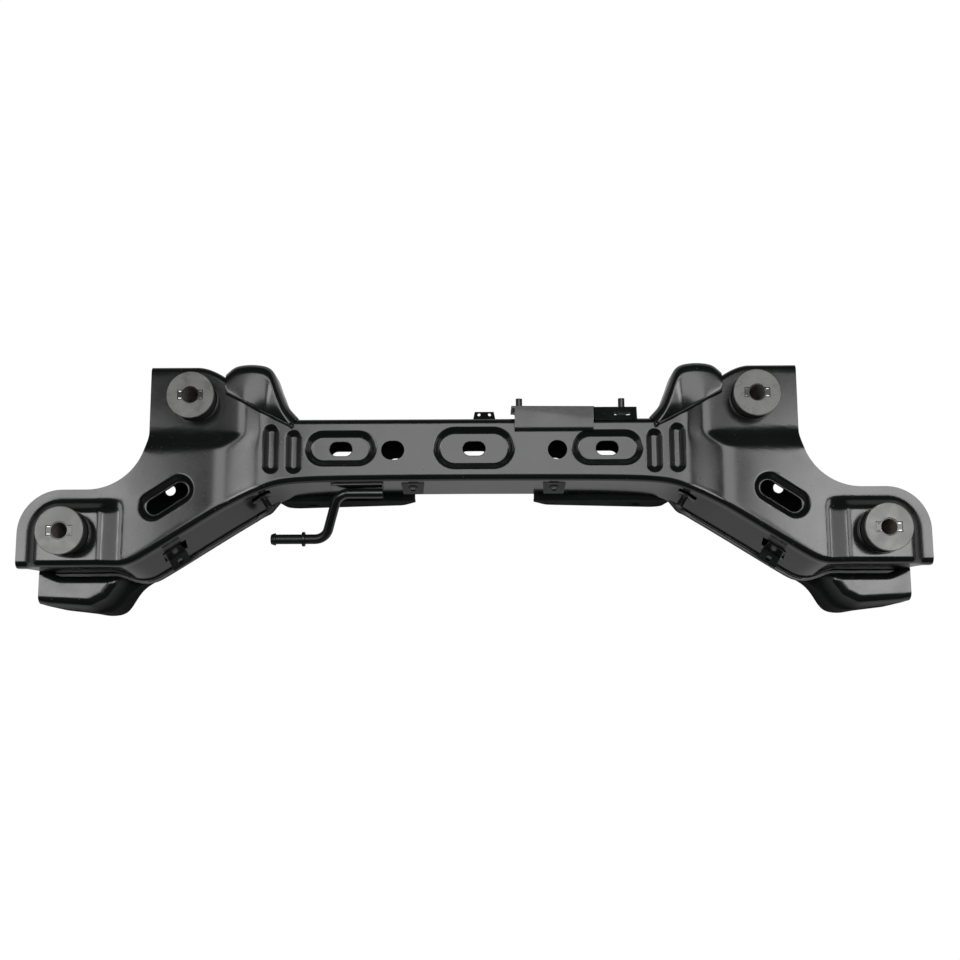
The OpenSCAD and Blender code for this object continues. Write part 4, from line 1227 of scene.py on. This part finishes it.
@dataclass(frozen=True)
class Brackets:
    """The folded brackets, plates and nuts, as rounded copies of their solids, some of them bent."""

    finishes: Finishes
    folded_z: float = 120.0
    cover_end: float = 144.0
    cover_lip: float = 68.8
    cover_rise: float = 3.2
    lip_shift: float = 3.6
    ear_bend: Span = (0.6, 2.4)
    ear_front: float = 79.0
    ear_lean: float = 0.3
    ear_shift: float = 2.5
    clip_plate: float = 3.0
    clip_lean: float = 9.0
    nut_height: float = 0.15
    taper: float = 0.14
    shelf_plate: float = 2.5
    shelf_drop: float = 5.0

    def form_stud_bracket(self, copy: Object) -> None:
        """Leans the long ear back from the cover, and turns the cover's front lip down onto the beam."""
        bend = (self.cover_end + self.ear_bend[0], self.cover_end + self.ear_bend[1])
        for place, normal in (((bend[0], 0, 0), (1, 0, 0)), ((bend[1], 0, 0), (1, 0, 0)),
                              ((0, self.cover_lip, 0), (0, 1, 0))):
            edit_all(copy)
            bpy.ops.mesh.bisect(plane_co=Vector(place) * MM, plane_no=normal)
            leave_edit()
        points = points_of(copy)
        x, y, z = points.T
        share = np.clip(share_of(x, bend), 0, 1) * (z > self.folded_z)
        points[:, 2] -= share * self.ear_lean * np.maximum(y - self.ear_front, 0)
        points[:, 1] -= share * self.ear_shift * (y < self.ear_front + 0.5)
        raised = (x < self.cover_end + 0.3) & (y > self.cover_lip - 0.1) & (z > self.folded_z)
        points[raised, 2] += self.cover_rise
        points[:, 1] -= self.lip_shift * (y < self.cover_lip - 1)
        set_points(copy, points)

    def form_clip_nuts(self, copy: Object) -> None:
        """Leans the clip nuts' plates out at the foot, tapers them and presses their nuts flat."""
        x, y, z = points_of(copy).T
        face = y.max() - self.clip_plate
        y = np.where(y < face, face + (y - face) * self.nut_height, y)
        low = (z.max() - z) / (z.max() - z.min())
        left, right = x[x < 0], x[x > 0]
        middle = np.where(x < 0, (left.min() + left.max()) / 2, (right.min() + right.max()) / 2)
        x = middle + (x - middle) * (1 - self.taper * low)
        set_points(copy, np.column_stack([x, y - self.clip_lean * low, z]))

    def form_rear_clip(self, copy: Object) -> None:
        """Slopes the rear clip's shelf down to the rear and tapers it."""
        points = points_of(copy)
        x, y, z = points.T
        out = (y - y.min()) / (y.max() - y.min())
        middle = (x.min() + x.max()) / 2
        shelf = z > z.max() - self.shelf_plate
        points[:, 2] -= self.shelf_drop * out * shelf
        points[:, 0] = middle + (x - middle) * (1 - self.taper * out)
        set_points(copy, points)

    def build(self) -> None:
        """Rounds each bracket and plate."""
        forms = {"stud_bracket": self.form_stud_bracket, "clip_nuts": self.form_clip_nuts,
                 "rear_clip": self.form_rear_clip}
        for node, edge in (
            ("beam_bracket_front_left", 1.2), ("beam_bracket_front_right", 1.2),
            ("beam_bracket_rear_left", 1.2), ("beam_bracket_rear_right", 1.2),
            ("stud_bracket", 0.9), ("rear_clip", 0.5), ("clip_nuts", 0.8), ("hanger_plate", 0.9),
            ("wire_tab_left", 0.5), ("wire_tab_right", 0.5), ("link_nuts", 0.7),
            ("hanger_collar", 0.6), ("hanger_rod", 1.2), ("front_studs", 0.5), ("bracket_studs", 0.6),
        ):
            copy = rounded_copy(node, edge, form=forms.get(node))
            keep(copy, f"{node}_rounded", Slot.BRACKET, self.finishes, [node])


@dataclass(frozen=True)
class BodyBush:
    """One body bush with its sleeve, rubber, core, washer and bolt retainer."""

    x: float
    y: float
    plateau: float
    place: str
    finishes: Finishes
    sleeve_r: float = 28.0
    stand_off: float = 29.0
    hole: float = 14.6
    foot: float = 57.0
    prong_size: Point = (4.2, 1.5, 1.0)
    prong_place: Point = (11.6, 4.2, -1.6)

    def build(self) -> None:
        """Builds the bush from its outside to its middle."""
        for part, slot, edge in (
            ("sleeve", Slot.BRACKET, 0.7), ("core", Slot.STEEL, 0.7), ("washer", Slot.WASHER, 0.9),
        ):
            node = f"{part}_{self.place}"
            keep(rounded_copy(node, edge), f"{node}_rounded", slot, self.finishes, [node])
        self.rubber()
        self.retainer()

    def rubber(self) -> None:
        """Builds the rubber with its rolled bumper."""
        mouth = self.plateau + 3
        top = self.plateau + self.stand_off - 4.1
        wide = self.sleeve_r - 2.6
        bumper = self.sleeve_r - 3.5
        low = self.foot + 4
        profile = [(self.hole, low), (wide - 6, self.foot), (wide - 1.5, self.foot + 1.2), (wide, low)]
        profile.append((wide, mouth + 0.8))
        for turn in np.linspace(0, 1, 9):
            radius = wide - (wide - bumper) * turn - 1.1 * math.sin(math.pi * turn)
            profile.append((radius, mouth + 1 + 4 * turn))
        for turn in np.linspace(0.1, 1, 12):
            profile.append((bumper - 3 * math.sin(math.pi * turn), mouth + 5 + 11 * turn))
        profile += [(bumper, top - 1.2), (bumper - 0.8, top), (self.hole, top)]
        piece = turned_piece(profile, self.x, self.y)
        keep(piece, f"rubber_{self.place}_moulded", Slot.RUBBER, self.finishes, [f"rubber_{self.place}"])

    def retainer(self) -> None:
        """Builds the ring and its bright bent prongs in the washer's side notches; the ring's near-black coat
        is partly its own dark finish and partly painted shade in the notches.
        """
        node = f"retainer_{self.place}"
        # Painted shade: the ring takes the near-black bracket coat rather than the washers' grey phosphate,
        # so the notches look shaded.
        keep(rounded_copy(node, 0.25), f"{node}_ring", Slot.BRACKET, self.finishes, [node])
        top = self.plateau + self.stand_off
        prongs = []
        for across, along in ((-1, -1), (-1, 1), (1, -1), (1, 1)):
            prong, points = add_block(self.prong_size)
            points[:, 2] += np.where(points[:, 0] * across > 0, 0.9, -0.4)
            place = np.array([across, along, 1]) * self.prong_place + (self.x, self.y, top)
            set_points(prong, points + place)
            round_edges(prong, 0.3, 30)
            prongs.append(prong)
        keep(joined(prongs), f"{node}_prongs", Slot.SPRING, self.finishes)


@dataclass(frozen=True)
class Welds:
    """The rippled weld runs that hold the box and its brackets."""

    box: PressedBox
    gussets: Gussets
    finishes: Finishes
    step: float = 0.85
    lap_run: Span = (275.0, 405.0)
    gusset_bead: float = 2.6
    lap_bead: float = 1.2

    def run(self, path: Array, radius: float, seed: int) -> Object:
        """Lays one rippled run along a path."""
        return swept(resampled(path, self.step), radius, cut=Cut.RIPPLED, seed=seed)

    def build(self) -> None:
        """Lays every run, each with its own seed."""
        runs = []
        for seed, side in enumerate(Side, 11):
            runs.append(self.run(self.gussets.weld_line(side), self.gusset_bead, seed))
            a = np.linspace(*self.lap_run, 90)
            lip = self.box.front_spot(a, self.box.front_lip + 0.2, self.box.lap_gap + 0.3)
            runs.append(self.run(mirrored(lip, side), self.lap_bead, seed + 20))
        keep(joined(runs), "weld_runs", Slot.BRACKET, self.finishes)


# The studio


@dataclass(frozen=True)
class Softbox:
    """One flat softbox."""

    name: str
    place: Point
    width: float
    depth: float
    radiance: float
    turn: Point = (0.0, 0.0, 0.0)

    def build(self) -> None:
        """Adds the lamp, with the power that gives its radiance."""
        deselect()
        bpy.ops.object.light_add(type="AREA", location=self.place)
        lamp = bpy.context.object
        lamp.name = self.name
        lamp.data.shape = "RECTANGLE"
        lamp.data.size = self.width
        lamp.data.size_y = self.depth
        lamp.data.energy = self.radiance * self.width * self.depth * math.pi
        lamp.rotation_euler = self.turn
        lamp.visible_camera = False


LAMP_Z = 2.6
SOFTBOXES = (
    Softbox("softbox_top", (0.02, 0.34, LAMP_Z), 1.28, 1.42, 4.2),
    Softbox("softbox_left", (-1.33, 0.08, LAMP_Z), 0.66, 1.02, 7.2),
    Softbox("softbox_right", (1.23, 0.11, LAMP_Z), 0.72, 1.1, 7.8),
    Softbox("dim_left", (-2.08, 0.08, LAMP_Z), 0.8, 1.02, 2.6),
    Softbox("dim_right", (2.01, 0.11, LAMP_Z), 0.8, 1.1, 2.6),
    Softbox("card_left", (-3.5, 0.0, 1.6), 1.4, 3.0, 0.8, (0.0, -math.pi / 2, 0.0)),
    Softbox("card_right", (3.5, 0.0, 1.6), 1.4, 3.0, 0.8, (0.0, math.pi / 2, 0.0)),
)


@dataclass(frozen=True)
class Studio:
    """A white floor, a black tent round it, softboxes above, and the camera."""

    look_at: Point = (0.007, 0.004, 0.128)
    distance: float = 1.58
    elevation: float = 80.5
    roll: float = 0.25
    lens: float = 49.4

    def build(self) -> None:
        """Builds the camera, the floor, the tent, the lamps and the world."""
        self.camera()
        self.floor()
        self.tent()
        for lamp in SOFTBOXES:
            lamp.build()
        self.world()
        bpy.context.scene.view_settings.view_transform = "Standard"

    def camera(self) -> None:
        """Adds the camera at the photograph's place."""
        lift = math.radians(self.elevation)
        target = Vector(self.look_at)
        place = target + Vector((0, -math.cos(lift), math.sin(lift))) * self.distance
        forward = (target - place).normalized()
        right = forward.cross(Vector((0, 1, 0))).normalized()
        up = right.cross(forward)
        turn = math.radians(self.roll)
        rolled_right = right * math.cos(turn) - up * math.sin(turn)
        rolled_up = up * math.cos(turn) + right * math.sin(turn)
        deselect()
        bpy.ops.object.camera_add(location=place)
        camera = bpy.context.object
        camera.name = "camera"
        axes = Matrix((rolled_right, rolled_up, -forward)).transposed()
        camera.rotation_euler = axes.to_euler()
        camera.data.sensor_width = 36
        camera.data.sensor_fit = "HORIZONTAL"
        camera.data.lens = self.lens
        camera.data.clip_end = 200
        bpy.context.scene.camera = camera

    @staticmethod
    def seen_rays(tree: NodeTree, mirrored_share: float) -> NodeSocket:
        """Gives the share of the plain background for each ray.

        Args:
            tree: the node tree.
            mirrored_share: how far a mirrored ray counts, so that the gloss keeps the floor's shadow.

        Returns:
            1 for the camera's rays and the transmitted ones, less for mirrored ones and 0 for others.
        """
        path = add_node(tree, "ShaderNodeLightPath").outputs
        gloss = combine(tree, "MULTIPLY", path["Is Glossy Ray"], mirrored_share)
        shown = combine(tree, "MAXIMUM", path["Is Camera Ray"], gloss)
        return combine(tree, "MAXIMUM", shown, path["Is Transmission Ray"])

    def floor(self) -> None:
        """Adds the white floor, which still takes a faint shadow."""
        deselect()
        bpy.ops.mesh.primitive_plane_add(size=60, location=(0, 0, -0.0005))
        floor = bpy.context.object
        floor.name = "studio_floor"
        coat = Coat("white_floor")
        share = combine(coat.tree, "MULTIPLY", self.seen_rays(coat.tree, 0.12), 0.97)
        matt = add_node(coat.tree, "ShaderNodeBsdfDiffuse", {"Color": linear("#cccccc")})
        glow = add_node(coat.tree, "ShaderNodeEmission", {"Color": (1, 1, 1, 1), "Strength": 1.03})
        floor.data.materials.append(coat.finish("ShaderNodeMixShader", {
            0: share, 1: matt.outputs[0], 2: glow.outputs[0]}))

    @staticmethod
    def tent() -> None:
        """Adds the black tent that keeps all but the softboxes dark in the coat's gloss."""
        deselect()
        bpy.ops.mesh.primitive_uv_sphere_add(segments=48, ring_count=24, radius=4.5, location=(0, 0, -0.02))
        tent = bpy.context.object
        tent.name = "studio_tent"
        cloth = Coat("black_cloth").finish("ShaderNodeBsdfDiffuse", {"Color": linear("#101010")})
        tent.data.materials.append(cloth)
        tent.visible_camera = False

    def world(self) -> None:
        """Makes the world white to the eye and dim as a light."""
        world = bpy.data.worlds.new("studio_world")
        world.use_nodes = True
        tree = world.node_tree
        tree.nodes.clear()
        seen = self.seen_rays(tree, 1.0)
        level = add_node(tree, "ShaderNodeMapRange", {"Value": seen, "To Min": 0.25, "To Max": 1.0})
        inputs = {"Color": (1, 1, 1, 1), "Strength": level.outputs[0]}
        ground = add_node(tree, "ShaderNodeBackground", inputs)
        add_node(tree, "ShaderNodeOutputWorld", {"Surface": ground.outputs[0]})
        bpy.context.scene.world = world


def main() -> None:
    """Builds the studio and every piece of the subframe."""
    logging.basicConfig(level=logging.INFO, format="%(message)s")
    Studio().build()
    finishes = make_finishes()
    box = PressedBox()
    Panels(box, finishes).build()
    gussets = Gussets(box, finishes)
    gussets.build()
    LinkBrackets(finishes).build()
    Brackets(finishes).build()
    for side in Side:
        for (x, y), plateau, end in (
            (box.rear_bush, box.rear_plateau, "rear"), (box.front_bush, box.front_plateau, "front"),
        ):
            BodyBush(side.value * x, y, plateau, f"{end}_{side.word}", finishes).build()
    Welds(box, gussets, finishes).build()


if __name__ == "__main__":
    main()
